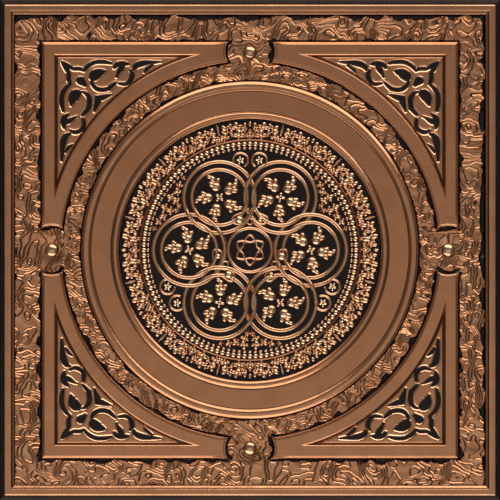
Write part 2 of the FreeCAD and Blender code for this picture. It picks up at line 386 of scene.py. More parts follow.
def stroke(
    path: np.ndarray,
    rise: np.ndarray | float,
    base: np.ndarray | float,
    crest: Crest,
    closed: bool = False,
    foot: float = 0.85,
    tone: float = 0.0,
) -> Shell:
    """Carry a raised section along a flat path.

    At each station the section stands across the path, as wide as the path's half width says, and
    its height is the base plus the rise times the section's share. Its underside is sunk a little
    below the base.

    Args:
        path: rows of x, y and half width.
        rise: height of the crest above the base.
        base: level on which the stroke stands.
        crest: form of the section.
        closed: whether the path returns to its start.
        foot: patina at the feet.
        tone: patina on the crest.

    Returns:
        The closed shell.
    """
    sunk = 0.2
    places = path[:, :2]
    if closed:
        way = np.roll(places, -1, axis=0) - np.roll(places, 1, axis=0)
    else:
        way = np.gradient(places, axis=0)
    way = way / np.hypot(way[:, 0], way[:, 1])[:, None]
    section = np.array(crest.value, float)
    across = np.concatenate([section[:, 0], [1.0, -1.0]])
    share = np.concatenate([section[:, 1], [0.0, 0.0]])
    drop = np.concatenate([np.zeros(len(section)), [sunk, sunk]])
    side = path[:, 2:3] * across
    count = len(path)
    level = np.broadcast_to(base, count)[:, None] + np.broadcast_to(rise, count)[:, None] * share - drop
    points = np.stack(
        [places[:, :1] - way[:, 1:] * side, places[:, 1:] + way[:, :1] * side, level], axis=-1
    )
    shade = tone + (foot - tone) * (1 - share) ** 3
    shell = lattice(points, shade[None, :], closed, True)
    if not closed:
        ring = np.arange(len(across))
        shell.faces.append(np.stack([ring[::-1], ring + (count - 1) * len(across)]))
    return shell


def leaf(
    knots: Sequence[Sequence[float]],
    rise: float,
    base: float,
    crest: Crest = Crest.LEAF,
    tone: float = -0.1,
) -> Shell:
    """Raise a tapering leaf along a curve through knots, lower where it is narrower.

    Args:
        knots: rows of x, y and half width.
        rise: height at the widest place.
        base: level on which it stands.
        crest: form of the section.
        tone: patina on the crest.

    Returns:
        The closed shell.
    """
    path = spline(knots, 3)
    path[:, 2] = np.maximum(path[:, 2], 0.15)
    height = rise * np.sqrt(path[:, 2] / path[:, 2].max())
    return stroke(path, height, base, crest, tone=tone)


def bead(
    half_x: float, half_y: float, rise: float, base: float, around: int = 10, gilt_and_highlight: float = 1.0
) -> Shell:
    """Make a blunt round knob that stands on the sheet.

    A point is (a r cos v, b r sin v, base + z), where turns v run round the knob and the rings' shares
    r and levels z run from its sunk foot up a steep side, and then over a dome to the pole.

    Args:
        half_x: half the size along X.
        half_y: half the size along Y.
        rise: height of the pole.
        base: level of the foot.
        around: points round the foot.
        gilt_and_highlight: how far the dome is worn to gold by rubbing and painted as a highlight, 0
        to 1; below 0 the dome is painted darker as painted shade.

    Returns:
        The closed shell.
    """
    reach = np.array([1.0, 0.95, 0.7, 0.35])[:, None]
    fall = min(0.46 * math.sqrt(half_x * half_y), 0.75 * rise)
    level = rise - fall * np.array([0.0, 1.0, 0.52, 0.13])[:, None]
    level[0] = -0.2
    turn = np.linspace(0, 2 * math.pi, around, endpoint=False)[None, :]
    points = np.stack(
        [half_x * reach * np.cos(turn), half_y * reach * np.sin(turn), base + level + 0 * turn],
        axis=-1,
    )
    rings = len(reach)
    quads = grid_quads(around, rings, True, False)
    order = quads % rings * around + quads // rings
    top = (rings - 1) * around + np.arange(around)
    pole = np.full(around, rings * around)
    fan = np.stack([top, np.roll(top, -1), pole], axis=-1)
    floor = np.arange(around)[::-1][None]
    places = np.vstack([points.reshape(-1, 3), [[0.0, 0.0, base + rise]]])
    # The dome is gold, worn by rubbing and painted as a highlight, and a negative share paints it darker as
    # painted shade; the foot ring is dark with patina.
    crown = -GILT_AND_HIGHLIGHT * gilt_and_highlight
    shade = np.append(np.repeat([0.95, 0.4 * crown, 0.8 * crown, crown], around), crown)
    return Shell(places, [order, fan, floor], shade)


def knobs(rows: Sequence[Sequence[float]], base: float, around: int = 9) -> Shell:
    """Set a knob for each row of x, y, turn, half sizes along and across, rise and gilding.

    The gilding paints the dome gold as a highlight, and darker as painted shade where it is negative.
    """
    return joined(
        [
            bead(along, across, rise, base, around, gilt_and_highlight).stamped([(x, y, turn, 1.0)])
            for x, y, turn, along, across, rise, gilt_and_highlight in rows
        ]
    )


def polar(degrees: np.ndarray | float, radius: np.ndarray | float) -> np.ndarray:
    """Return the places at angles from the X axis and distances from the tile's middle."""
    turn = np.radians(degrees)
    return np.stack([radius * np.cos(turn), radius * np.sin(turn)], axis=-1)


def polar_places(rows: Sequence[Sequence[float]]) -> list[tuple[float, float, float, float]]:
    """Turn rows of angle, radius, lean from the radius and scale into places for stamped copies."""
    return [(*polar(turn, out), turn + lean, size) for turn, out, lean, size in rows]


def polar_knots(rows: Sequence[Sequence[float]]) -> np.ndarray:
    """Turn knots of angle, radius and half width into knots of x, y and half width."""
    table = np.asarray(rows, float)
    return np.column_stack([polar(table[:, 0], table[:, 1]), table[:, 2]])


def noise_node(
    tree: bpy.types.NodeTree, place: bpy.types.NodeSocket, scale: float, detail: float
) -> bpy.types.NodeSocket:
    """Add a noise texture.

    Args:
        tree: the material's nodes.
        place: socket of the coordinates.
        scale: waves for each metre.
        detail: number of finer layers.

    Returns:
        The texture's value socket.
    """
    made = tree.nodes.new("ShaderNodeTexNoise")
    made.inputs["Scale"].default_value = scale
    made.inputs["Detail"].default_value = detail
    tree.links.new(place, made.inputs["Vector"])
    return made.outputs["Fac"]


def math_node(
    tree: bpy.types.NodeTree, kind: str, *terms: bpy.types.NodeSocket | float
) -> bpy.types.NodeSocket:
    """Add a Math node.

    Args:
        tree: nodes of a material or of the world.
        kind: the node's operation.
        terms: sockets or plain numbers that feed it, in order.

    Returns:
        The node's value socket.
    """
    made = tree.nodes.new("ShaderNodeMath")
    made.operation = kind
    for socket, term in zip(made.inputs, terms):
        if isinstance(term, (int, float)):
            socket.default_value = term
        else:
            tree.links.new(term, socket)
    return made.outputs["Value"]


@dataclass(frozen=True)
class CopperFinish:
    """Lacquered antique copper: gold on worn crests and painted highlights, black where patina fills the
    hollows.

    Attributes:
        gold: colour of crests worn bright by rubbing and of painted highlights, at the patina's
        negative bound.
        bare: colour of the lacquered copper.
        warm: colour where the patina begins, reddish brown.
        dark: colour of thick patina.
        black: colour of the blackened ground.
        clouding: how far the patina drifts from place to place.
        polish: roughness of the bare copper.
        tarnish: roughness that a full patina adds.
        brushing: roughness that the grain adds.
        dents: strength of the faint dents.
        dent_depth: their depth, in metres.
        lacquer: weight of the clear coat.
        lacquer_polish: roughness of the clear coat.
    """

    name: str = "antique_copper"
    gold: tuple[float, float, float] = (0.88, 0.64, 0.38)
    bare: tuple[float, float, float] = (0.53, 0.234, 0.11)
    warm: tuple[float, float, float] = (0.34, 0.125, 0.046)
    dark: tuple[float, float, float] = (0.085, 0.037, 0.019)
    black: tuple[float, float, float] = (0.019, 0.0125, 0.0105)
    clouding: float = 0.30
    polish: float = 0.13
    tarnish: float = 0.26
    brushing: float = 0.06
    dents: float = 0.10
    dent_depth: float = 0.0004
    lacquer: float = 0.25
    lacquer_polish: float = 0.14

    def material(self) -> bpy.types.Material:
        """Build the node material that reads the patina of the piece.

        Returns:
            The material.
        """
        made = bpy.data.materials.new(self.name)
        made.use_nodes = True
        tree = made.node_tree
        nodes, links = tree.nodes, tree.links
        shader = nodes["Principled BSDF"]
        place = nodes.new("ShaderNodeTexCoord").outputs["Object"]
        patina = nodes.new("ShaderNodeAttribute")
        patina.attribute_name = PATINA
        cloud = noise_node(tree, place, 42.0, 4.0)
        grain = noise_node(tree, place, 900.0, 3.0)
        swell = noise_node(tree, place, 95.0, 2.0)

        drift = math_node(tree, "MULTIPLY_ADD", cloud, self.clouding, -self.clouding / 2)
        worn = math_node(tree, "ADD", patina.outputs["Fac"], drift)

        ramp = nodes.new("ShaderNodeValToRGB")
        # The gold stop colours gold tints, crests worn by rubbing and painted highlights.
        stops = (
            (-GILT_AND_HIGHLIGHT, self.gold),
            (0.0, self.bare),
            (0.38, self.warm),
            (0.66, self.dark),
            (0.92, self.black),
        )
        for _ in stops[2:]:
            ramp.color_ramp.elements.new(0.5)
        span = 1.0 + GILT_AND_HIGHLIGHT
        for element, (position, colour) in zip(ramp.color_ramp.elements, stops):
            element.position = (position + GILT_AND_HIGHLIGHT) / span
            element.color = (*colour, 1.0)
        share = math_node(tree, "MULTIPLY_ADD", worn, 1.0 / span, GILT_AND_HIGHLIGHT / span)
        links.new(share, ramp.inputs["Fac"])
        links.new(ramp.outputs["Color"], shader.inputs["Base Color"])

        dark = math_node(tree, "MAXIMUM", worn, 0.0)
        dull = math_node(tree, "MULTIPLY_ADD", dark, self.tarnish, self.polish)
        rough = math_node(tree, "MULTIPLY_ADD", grain, self.brushing, dull)
        links.new(rough, shader.inputs["Roughness"])

        relief = math_node(tree, "MULTIPLY_ADD", swell, 3.0, grain)
        bump = nodes.new("ShaderNodeBump")
        bump.inputs["Strength"].default_value = self.dents
        bump.inputs["Distance"].default_value = self.dent_depth
        links.new(relief, bump.inputs["Height"])
        links.new(bump.outputs["Normal"], shader.inputs["Normal"])
        shader.inputs["Metallic"].default_value = 1.0
        shader.inputs["Coat Weight"].default_value = self.lacquer
        shader.inputs["Coat Roughness"].default_value = self.lacquer_polish
        return made


@dataclass(frozen=True)
class FloorFinish:
    """Pale matt studio floor with a faint mottle."""

    name: str = "studio_floor"
    low: tuple[float, float, float] = (0.70, 0.69, 0.67)
    high: tuple[float, float, float] = (0.76, 0.75, 0.73)

    def material(self) -> bpy.types.Material:
        """Build the floor's node material.

        Returns:
            The material.
        """
        made = bpy.data.materials.new(self.name)
        made.use_nodes = True
        tree = made.node_tree
        nodes, links = tree.nodes, tree.links
        shader = nodes["Principled BSDF"]
        place = nodes.new("ShaderNodeTexCoord").outputs["Object"]
        mottle = noise_node(tree, place, 6.0, 2.0)
        ramp = nodes.new("ShaderNodeValToRGB")
        ramp.color_ramp.elements[0].color = (*self.low, 1.0)
        ramp.color_ramp.elements[1].color = (*self.high, 1.0)
        links.new(mottle, ramp.inputs["Fac"])
        links.new(ramp.outputs["Color"], shader.inputs["Base Color"])
        shader.inputs["Roughness"].default_value = 0.8
        return made


def dress(name: str, shell: Shell, finish: bpy.types.Material) -> bpy.types.Object:
    """Put a shell into the scene as a piece of the pressed sheet.

    Args:
        name: name of the piece.
        shell: its surface.
        finish: its material.

    Returns:
        The new object, riding on the tile.
    """
    mesh = bpy.data.meshes.new(name)
    corners = np.concatenate([block.ravel() for block in shell.faces])
    counts = np.concatenate([np.full(len(block), block.shape[1]) for block in shell.faces])
    mesh.vertices.add(len(shell.points))
    mesh.vertices.foreach_set("co", (shell.points * MM).astype(np.float32).ravel())
    mesh.loops.add(len(corners))
    mesh.loops.foreach_set("vertex_index", corners.astype(np.int32))
    mesh.polygons.add(len(counts))
    starts = np.concatenate([[0], np.cumsum(counts)[:-1]])
    mesh.polygons.foreach_set("loop_start", starts.astype(np.int32))
    mesh.update(calc_edges=True)
    mesh.polygons.foreach_set("use_smooth", np.ones(len(counts), bool))
    shade = mesh.attributes.new(PATINA, "FLOAT", "POINT")
    shade.data.foreach_set("value", shell.patina.astype(np.float32))
    mesh.materials.append(finish)
    piece = bpy.data.objects.new(name, mesh)
    bpy.context.scene.collection.objects.link(piece)
    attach(piece, BODY)
    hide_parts(SHEET_NODE)
    LOG.info("%s: %d triangles", name, int(np.sum(counts - 2)))
    return piece


@dataclass(frozen=True)
class TileSheet:
    """The sheet's own sizes, as in the part, in millimetres, and the places that follow from them."""

    side: float
    gauge: float = 0.45
    draft: float = 20.0
    flange_width: float = 4.6
    rail_height: float = 9.5
    rail_width: float = 7.7
    ledge_height: float = 5.5
    ledge_width: float = 2.2
    channel_width: float = 34.0
    panel_height: float = 6.5
    panel_border: float = 14.0
    arc_border: float = 15.0
    spandrel_depth: float = 1.5
    panel_gap: float = 26.2
    boss_clearing: float = 30.0
    ring_radius: float = 198.5
    bead_width: float = 9.6
    swell_count: int = 7
    swell_pitch: float = 76.0
    swell_shift: float = 3.5
    swell_turn: float = 16.0
    swell_length: float = 46.0
    swell_width: float = 17.0
    foot_run: float = 0.7

    @property
    def half(self) -> float:
        """Half the side of the tile."""
        return self.side / 2

    @property
    def slope(self) -> float:
        """Set-back of a drawn wall for each unit of height."""
        return math.tan(math.radians(self.draft))

    @property
    def rail_edge(self) -> float:
        """Distance of the rail's outer top edge from the middle."""
        return self.half - self.flange_width - self.rail_height * self.slope

    @property
    def rail_inner(self) -> float:
        """Distance of the rail's inner top edge from the middle."""
        return self.rail_edge - self.rail_width

    @property
    def ledge_inner(self) -> float:
        """Distance of the ledge's inner edge from the middle."""
        return self.rail_inner - (self.rail_height - self.ledge_height) * self.slope - self.ledge_width

    @property
    def panel_edge(self) -> float:
        """Distance of the panels' outer edges from the middle."""
        return self.ledge_inner - self.channel_width

    @property
    def panel_foot(self) -> float:
        """Reach of a panel's wall beyond its top edge, at the field."""
        return (self.panel_height - self.gauge) * self.slope

    @property
    def panel_arc(self) -> float:
        """Radius of the panels' concave inner edge."""
        return self.ring_radius + self.bead_width / 2 + self.panel_gap

    @property
    def spandrel_level(self) -> float:
        """Height of the sunk spandrels."""
        return self.panel_height - self.spandrel_depth

    @property
    def opening_edge(self) -> float:
        """Distance of the sunk spandrel's straight edges from the middle."""
        return self.panel_edge - self.panel_border

    @property
    def opening_arc(self) -> float:
        """Radius of the sunk spandrel's curved edge."""
        return self.panel_arc + self.arc_border

    @property
    def boss_pitch(self) -> float:
        """Distance of the side bosses from the middle, midway across the panels' ends."""
        return (self.panel_edge + self.panel_arc) / 2

    @property
    def field_outer(self) -> float:
        """Distance of the field's outer boundary from the middle, under the rail's inner wall."""
        return self.ledge_inner - self.foot_run


def square_path(side_points: int, near: float) -> np.ndarray:
    """Return points round a square of half side 1, anticlockwise from its lower right corner.

    Args:
        side_points: points spaced evenly along each side.
        near: distance of an extra pair of points from each corner, which keeps the mitre crisp.

    Returns:
        Rows of x and y.
    """
    even = np.linspace(-1, 1, side_points, endpoint=False)[1:]
    along = np.concatenate([[-1, -1 + near], even, [1 - near]])
    one = np.ones_like(along)
    return np.concatenate(
        [
            np.column_stack([one, along]),
            np.column_stack([-along, one]),
            np.column_stack([-one, -along]),
            np.column_stack([along, -one]),
        ]
    )


@dataclass(frozen=True)
class EdgeRail:
    """The raised square rail with its flange outside and its stepped ledge inside."""

    sheet: TileSheet
    side_points: int = 48
    foot_ease: float = 0.7
    waver: float = 0.10

    def shell(self) -> Shell:
        """Carry the rail's pressed section round the square.

        A point is the section's distance times the unit square's contour, at the section's level,
        with a faint waver of the level along the rail.

        Returns:
            The closed shell.
        """
        s = self.sheet
        step = s.rail_inner - 0.8
        foot = s.ledge_inner - (s.ledge_height - s.gauge) * s.slope
        bends = [
            Bend(-s.half, s.gauge, run=1.0),
            Bend(-(s.half - s.flange_width), s.gauge, self.foot_ease, worn=0.75, run=0.6),
            Bend(-s.rail_edge - 0.1, s.rail_height - 0.5, 0.3, worn=0.1, run=0.0),
            Bend(-s.rail_edge + 1.0, s.rail_height, 0.5, worn=-0.1, run=0.06),
            Bend(-s.rail_inner - 1.0, s.rail_height, 0.5, worn=-0.1, run=0.0),
            Bend(-s.rail_inner + 0.1, s.rail_height - 0.5, 0.3, worn=0.1, run=0.6),
            Bend(-step, s.ledge_height, 0.2, worn=0.9, run=0.02),
            Bend(-s.ledge_inner - 0.3, s.ledge_height - 1.1, 0.4, worn=0.05, run=0.8),
            Bend(-foot, s.gauge, self.foot_ease, worn=1.0, run=1.0),
            Bend(-foot + s.foot_run, s.gauge, run=1.0),
        ]
        section = pressed_profile(bends, s.gauge)
        contour = square_path(self.side_points, 0.0012)
        distance = -section[:, 0]
        points = np.empty((len(contour), len(section), 3))
        points[..., :2] = contour[:, None, :] * distance[None, :, None]
        ripple = noise(contour[:, 0] * 9.0, contour[:, 1] * 9.0, 11) * self.waver
        raised = np.clip(section[:, 1] / s.rail_height, 0, 1)
        points[..., 2] = section[:, 1] + ripple[:, None] * raised
        return lattice(points, section[None, :, 2], True, True)


@dataclass(frozen=True)
class BurlField:
    """The field between rail, panels and ring, pressed with terraces like the contours of a map.

    Attributes:
        scale: size of a swirl.
        fold: slow waves that bend the swirls across and up.
        crinkle: short waves that crinkle them.
        small: small swirls that are added, as a share of the random height.
        small_size: their size, as a divisor of the scale.
        ring_fine: small swirls that are added on top near the ring.
        floor_height: random height at which the terraces start.
        swell: height of the main swells, as a share of the random height.
        gain: terraces for each unit of the random height.
        tread: rise of one terrace.
        lift: height of the lowest terrace above the black ground.
        riser: half the width of a terrace's sloping front.
        lip_rise: rise of the lip above a terrace.
        heave: waves that lift the terraces as a whole.
        cloud: drift of the patina over the field.
        ragged: long and short waves by which the burl breaks off near the walls.
        rail_gap: black ground beside the rail, on the right, top, left and bottom sides.
        panel_gap: black ground beside the panels, on the same sides.
        arc_gap: black ground beside the panels' concave edges.
        ring_gap: black ground beside the ring.
        boss_reach: distance from a boss's middle at which the burl has its full height.
        side_cells: cells along each side of the channel.
        side_rows: rows of points across the channel.
        ring_cells: cells round the ring.
        ring_rows: rows of points between ring and panels.
        gap_cells: points across and along a gap between two panels' ends.
    """

    sheet: TileSheet
    scale: float = 27.0
    fold: tuple[Waves, Waves] = (Waves(44.0, 0.6, 21), Waves(44.0, 0.6, 23))
    crinkle: tuple[Waves, Waves] = (Waves(9.0, 0.07, 22), Waves(9.0, 0.07, 24))
    small: float = 0.30
    small_size: float = 2.1
    ring_fine: float = 0.4
    floor_height: float = -0.68
    swell: float = 0.22
    gain: float = 5.4
    tread: float = 0.62
    lift: float = 0.7
    riser: float = 1.1
    lip_rise: float = 0.36
    heave: Waves = Waves(14.0, 0.7, 29)
    cloud: Waves = Waves(24.0, 0.42, 30)
    ragged: tuple[Waves, Waves] = (Waves(17.0, 9.0, 27), Waves(6.0, 2.4, 28))
    rail_gap: tuple[float, float, float, float] = (3.6, 4.0, -1.0, -5.0)
    panel_gap: tuple[float, float, float, float] = (0.4, -1.0, 1.4, 2.6)
    arc_gap: float = 0.6
    ring_gap: float = -1.0
    boss_reach: float = 20.0
    side_cells: int = 880
    side_rows: int = 50
    ring_cells: int = 1480
    ring_rows: int = 23
    gap_cells: tuple[int, int] = (52, 28)

    def contours(self, x: np.ndarray, y: np.ndarray) -> np.ndarray:
        """Return the random height that the terraces are cut from, folded by slower waves.

        Small swirls are added, more of them near the ring, and the part's main swells: at the place
        of each, a bell of its length and width.
        """
        fold_x = self.fold[0].at(x, y) + self.crinkle[0].at(x, y)
        fold_y = self.fold[1].at(x, y) + self.crinkle[1].at(x, y)
        across, along = x / self.scale + fold_x, y / self.scale + fold_y
        arc = self.sheet.panel_arc
        fine = self.small + self.ring_fine * smooth(arc + 2.0, arc - 8.0, np.hypot(x, y))
        swirls = noise(across * self.small_size, along * self.small_size, 26)
        height = noise(across, along, 25) + fine * swirls
        return (height - self.floor_height + self.swell * self.swells(x, y)) * self.gain

    def swells(self, x: np.ndarray, y: np.ndarray) -> np.ndarray:
        """Return the bells of the main swells that the part has along its channel, 1 at their tops.

        On the side that the place is nearest to, the swells stand in a row, shifted across the
        channel and turned to one side and the other by turns; the nearest one's bell counts.
        """
        s = self.sheet
        upright = np.abs(y) > np.abs(x)
        along = np.where(upright, -x * np.sign(y), y * np.sign(x))
        out = np.where(upright, np.abs(y), np.abs(x))
        last = (s.swell_count - 1) / 2
        index = np.clip(np.round(along / s.swell_pitch), -last, last)
        lean = np.where((index + last) % 2 < 0.5, 1.0, -1.0)
        off = along - index * s.swell_pitch
        up = out - (s.ledge_inner - s.channel_width / 2) - lean * s.swell_shift
        turn = lean * math.radians(s.swell_turn)
        long_way = off * np.cos(turn) - up * np.sin(turn)
        wide_way = off * np.sin(turn) + up * np.cos(turn)
        return np.exp(-((long_way / (0.4 * s.swell_length)) ** 2) - (wide_way / (0.4 * s.swell_width)) ** 2)

    def relief(self, x: np.ndarray, y: np.ndarray, margin: np.ndarray) -> tuple[np.ndarray, np.ndarray]:
        """Work out height and patina of the burl.

        At each whole number of the contour height stands the front of a terrace. The distance to it
        is the rest of the height over its slope; across it the level steps up smoothly, with a lip
        above, a front painted gold as a highlight and a dark line below. Near a wall it is black in
        patches, with gold painted as a highlight along its edge, and then breaks off. The tone is
        painted darker towards the top of the tile and lighter towards the bottom, as painted shade
        and light. Round the bosses it is lower.

        Args:
            x: places across.
            y: places up.
            margin: distance to the nearest wall, less the black gap wanted there.

        Returns:
            Height above the sheet's face, and patina.
        """
        near = 0.25
        flattest = 0.03
        level = self.contours(x, y)
        slope_x = (self.contours(x + near, y) - level) / near
        slope_y = (self.contours(x, y + near) - level) / near
        slope = np.maximum(np.hypot(slope_x, slope_y), flattest)
        step = np.round(level)
        away = (level - step) / slope
        place = away / np.minimum(self.riser, 0.36 / slope)
        front = smooth(-1.0, 1.0, place)
        lip = bell(place, 0.9, 0.6)
        line = bell(place, -1.0, 0.6)
        # Painted highlight: gold on the upper part of each terrace's front, where the lamps' highlights
        # fall.
        painted_front_highlight = bell(place, 0.45, 0.7)
        ragged = margin + self.ragged[0].at(x, y) + self.ragged[1].at(x, y)
        standing = smooth(-1.8, -0.6, ragged)
        dark = smooth(0.6, -0.6, ragged) * (0.95 - 0.4 * lip)
        # Painted highlight: gold along the burl's edge where it breaks off near a wall.
        rim = bell(ragged, 1.4, 0.9)
        swell = self.heave.at(x, y) + 0.3 * self.tread * (level - step)
        risen = np.clip(step - 1 + front, 0, 9) * self.tread + self.lip_rise * lip + swell
        # Random drift of the patina, and painted shade and light: darker towards the top of the tile,
        # lighter towards the bottom.
        cloud = self.cloud.at(x, y) + 0.1 * y / self.sheet.half
        shade = cloud - 0.15 + 1.15 * line - 0.5 * painted_front_highlight - 0.2 * rim
        shade = np.maximum(np.maximum(shade, dark), 1.0 - 1.4 * standing)
        far, beside = np.maximum(np.abs(x), np.abs(y)), np.minimum(np.abs(x), np.abs(y))
        off = np.hypot(far - self.sheet.boss_pitch, beside)
        low = 0.3 + 0.7 * smooth(6.0, self.boss_reach, off)
        return standing * low * (self.lift + risen), np.clip(shade, -GILT_AND_HIGHLIGHT, 1)

    def side_blend(self, places: np.ndarray, gaps: Sequence[float]) -> np.ndarray:
        """Blend four numbers, for the right, top, left and bottom sides, over the corners.

        Args:
            places: x and y.
            gaps: the four numbers.

        Returns:
            The blended number at each place.
        """
        x, y = places[..., 0], places[..., 1]
        lean = np.stack([x - np.abs(y), y - np.abs(x), -x - np.abs(y), -y - np.abs(x)])
        weight = smooth(-25.0, 25.0, lean)
        return np.tensordot(gaps, weight, 1) / np.sum(weight, axis=0)

    def channel(self) -> list[Shell]:
        """Lay the burl in the square channel between the rail and the panels, mitred at the corners.

        Returns:
            The closed shells of the right, top, left and bottom sides: the relief on top, and a flat
            underside.
        """
        s = self.sheet
        inner = s.panel_edge + s.panel_foot + s.foot_run
        contour = square_path(self.side_cells, 0.0012)
        distance = guarded(np.linspace(s.field_outer, inner, self.side_rows), 0.05)
        places = contour[:, None, :] * distance[None, :, None]
        mid_side = np.minimum(np.abs(places[..., 0]), np.abs(places[..., 1]))
        open_side = smooth(18.0, 28.0, mid_side)
        to_rail = (s.field_outer - distance)[None, :] - self.side_blend(places, self.rail_gap)
        to_panel = (distance - inner)[None, :] - self.side_blend(places, self.panel_gap)
        margin = np.minimum(to_rail, to_panel + 30.0 * (1 - open_side))
        count = len(contour) // 4
        rows = [np.arange(k * count, (k + 1) * count + 1) % len(contour) for k in range(4)]
        return [self._laid(places[row], margin[row], False) for row in rows]

    def round_ring(self) -> Shell:
        """Lay the burl round the ring moulding, out to the panels' concave edges.

        Returns:
            The closed shell.
        """
        s = self.sheet
        outer = s.panel_arc - s.panel_foot - s.foot_run
        inner = s.ring_radius + s.bead_width / 2 + s.panel_foot + s.foot_run
        turn = np.linspace(0, 360, self.ring_cells, endpoint=False)
        radius = guarded(np.linspace(outer, inner, self.ring_rows), 0.05)
        places = polar(turn[:, None], radius[None, :])
        mid_side = np.minimum(np.abs(places[..., 0]), np.abs(places[..., 1]))
        to_panel = (outer - radius)[None, :] + 30.0 * (1 - smooth(18.0, 27.0, mid_side))
        margin = np.minimum(to_panel - self.arc_gap, (radius - inner)[None, :] - self.ring_gap)
        return self._laid(places, margin, True)

    def side_gap(self) -> Shell:
        """Lay the burl in the four gaps between the panels' ends, round the bosses.

        On the upper side of the tile x runs between the ends' concave feet and y from the ring's
        field to the channel; both follow from two shares by a few rounds of substitution.

        Returns:
            The closed shell of the four patches.
        """
        s = self.sheet
        outer = s.panel_arc - s.panel_foot - s.foot_run
        top = s.panel_edge + s.panel_foot + s.foot_run
        reach = s.boss_clearing - s.panel_foot - s.foot_run
        share_x = guarded(np.linspace(1, -1, self.gap_cells[0]), 0.004)[:, None]
        share_y = guarded(np.linspace(1, 0, self.gap_cells[1]), 0.004)[None, :]
        y = outer + share_y * (top - outer) + 0 * share_x
        for _ in range(6):
            x = share_x * np.sqrt(reach**2 - (y - s.boss_pitch) ** 2)
            low = np.sqrt(outer**2 - x**2)
            y = low + share_y * (top - low)
        margin = reach - np.hypot(x, y - s.boss_pitch) - 1.0
        patches = []
        for quarter in range(4):
            cosine, sine = round(math.cos(quarter * math.pi / 2)), round(math.sin(quarter * math.pi / 2))
            height, shade = self.relief(cosine * x - sine * y, sine * x + cosine * y, margin)
            points = np.stack([x, y, s.gauge + height], axis=-1)
            patches.append(slab(points, shade, 0.0).turned(90.0 * quarter))
        return joined(patches)

    def _laid(self, places: np.ndarray, margin: np.ndarray, closed: bool) -> Shell:
        """Close a strip of the field.

        Args:
            places: x and y, as stations along the strip by points inwards.
            margin: distance to the nearest wall.
            closed: whether the strip returns to its start.

        Returns:
            The closed shell.
        """
        height, shade = self.relief(places[..., 0], places[..., 1], margin)
        top = np.dstack([places, self.sheet.gauge + height])
        flat = places[:, [-1, 0]]
        back = np.dstack([flat, np.zeros(flat.shape[:2])])
        shades = np.hstack([shade, np.full(flat.shape[:2], 0.55)])
        strip = lattice(np.hstack([top, back]), shades, closed, True)
        if not closed:
            ring = np.arange(shades.shape[1])
            strip.faces.append(np.stack([ring[::-1], ring + len(strip.points) - len(ring)]))
        return strip


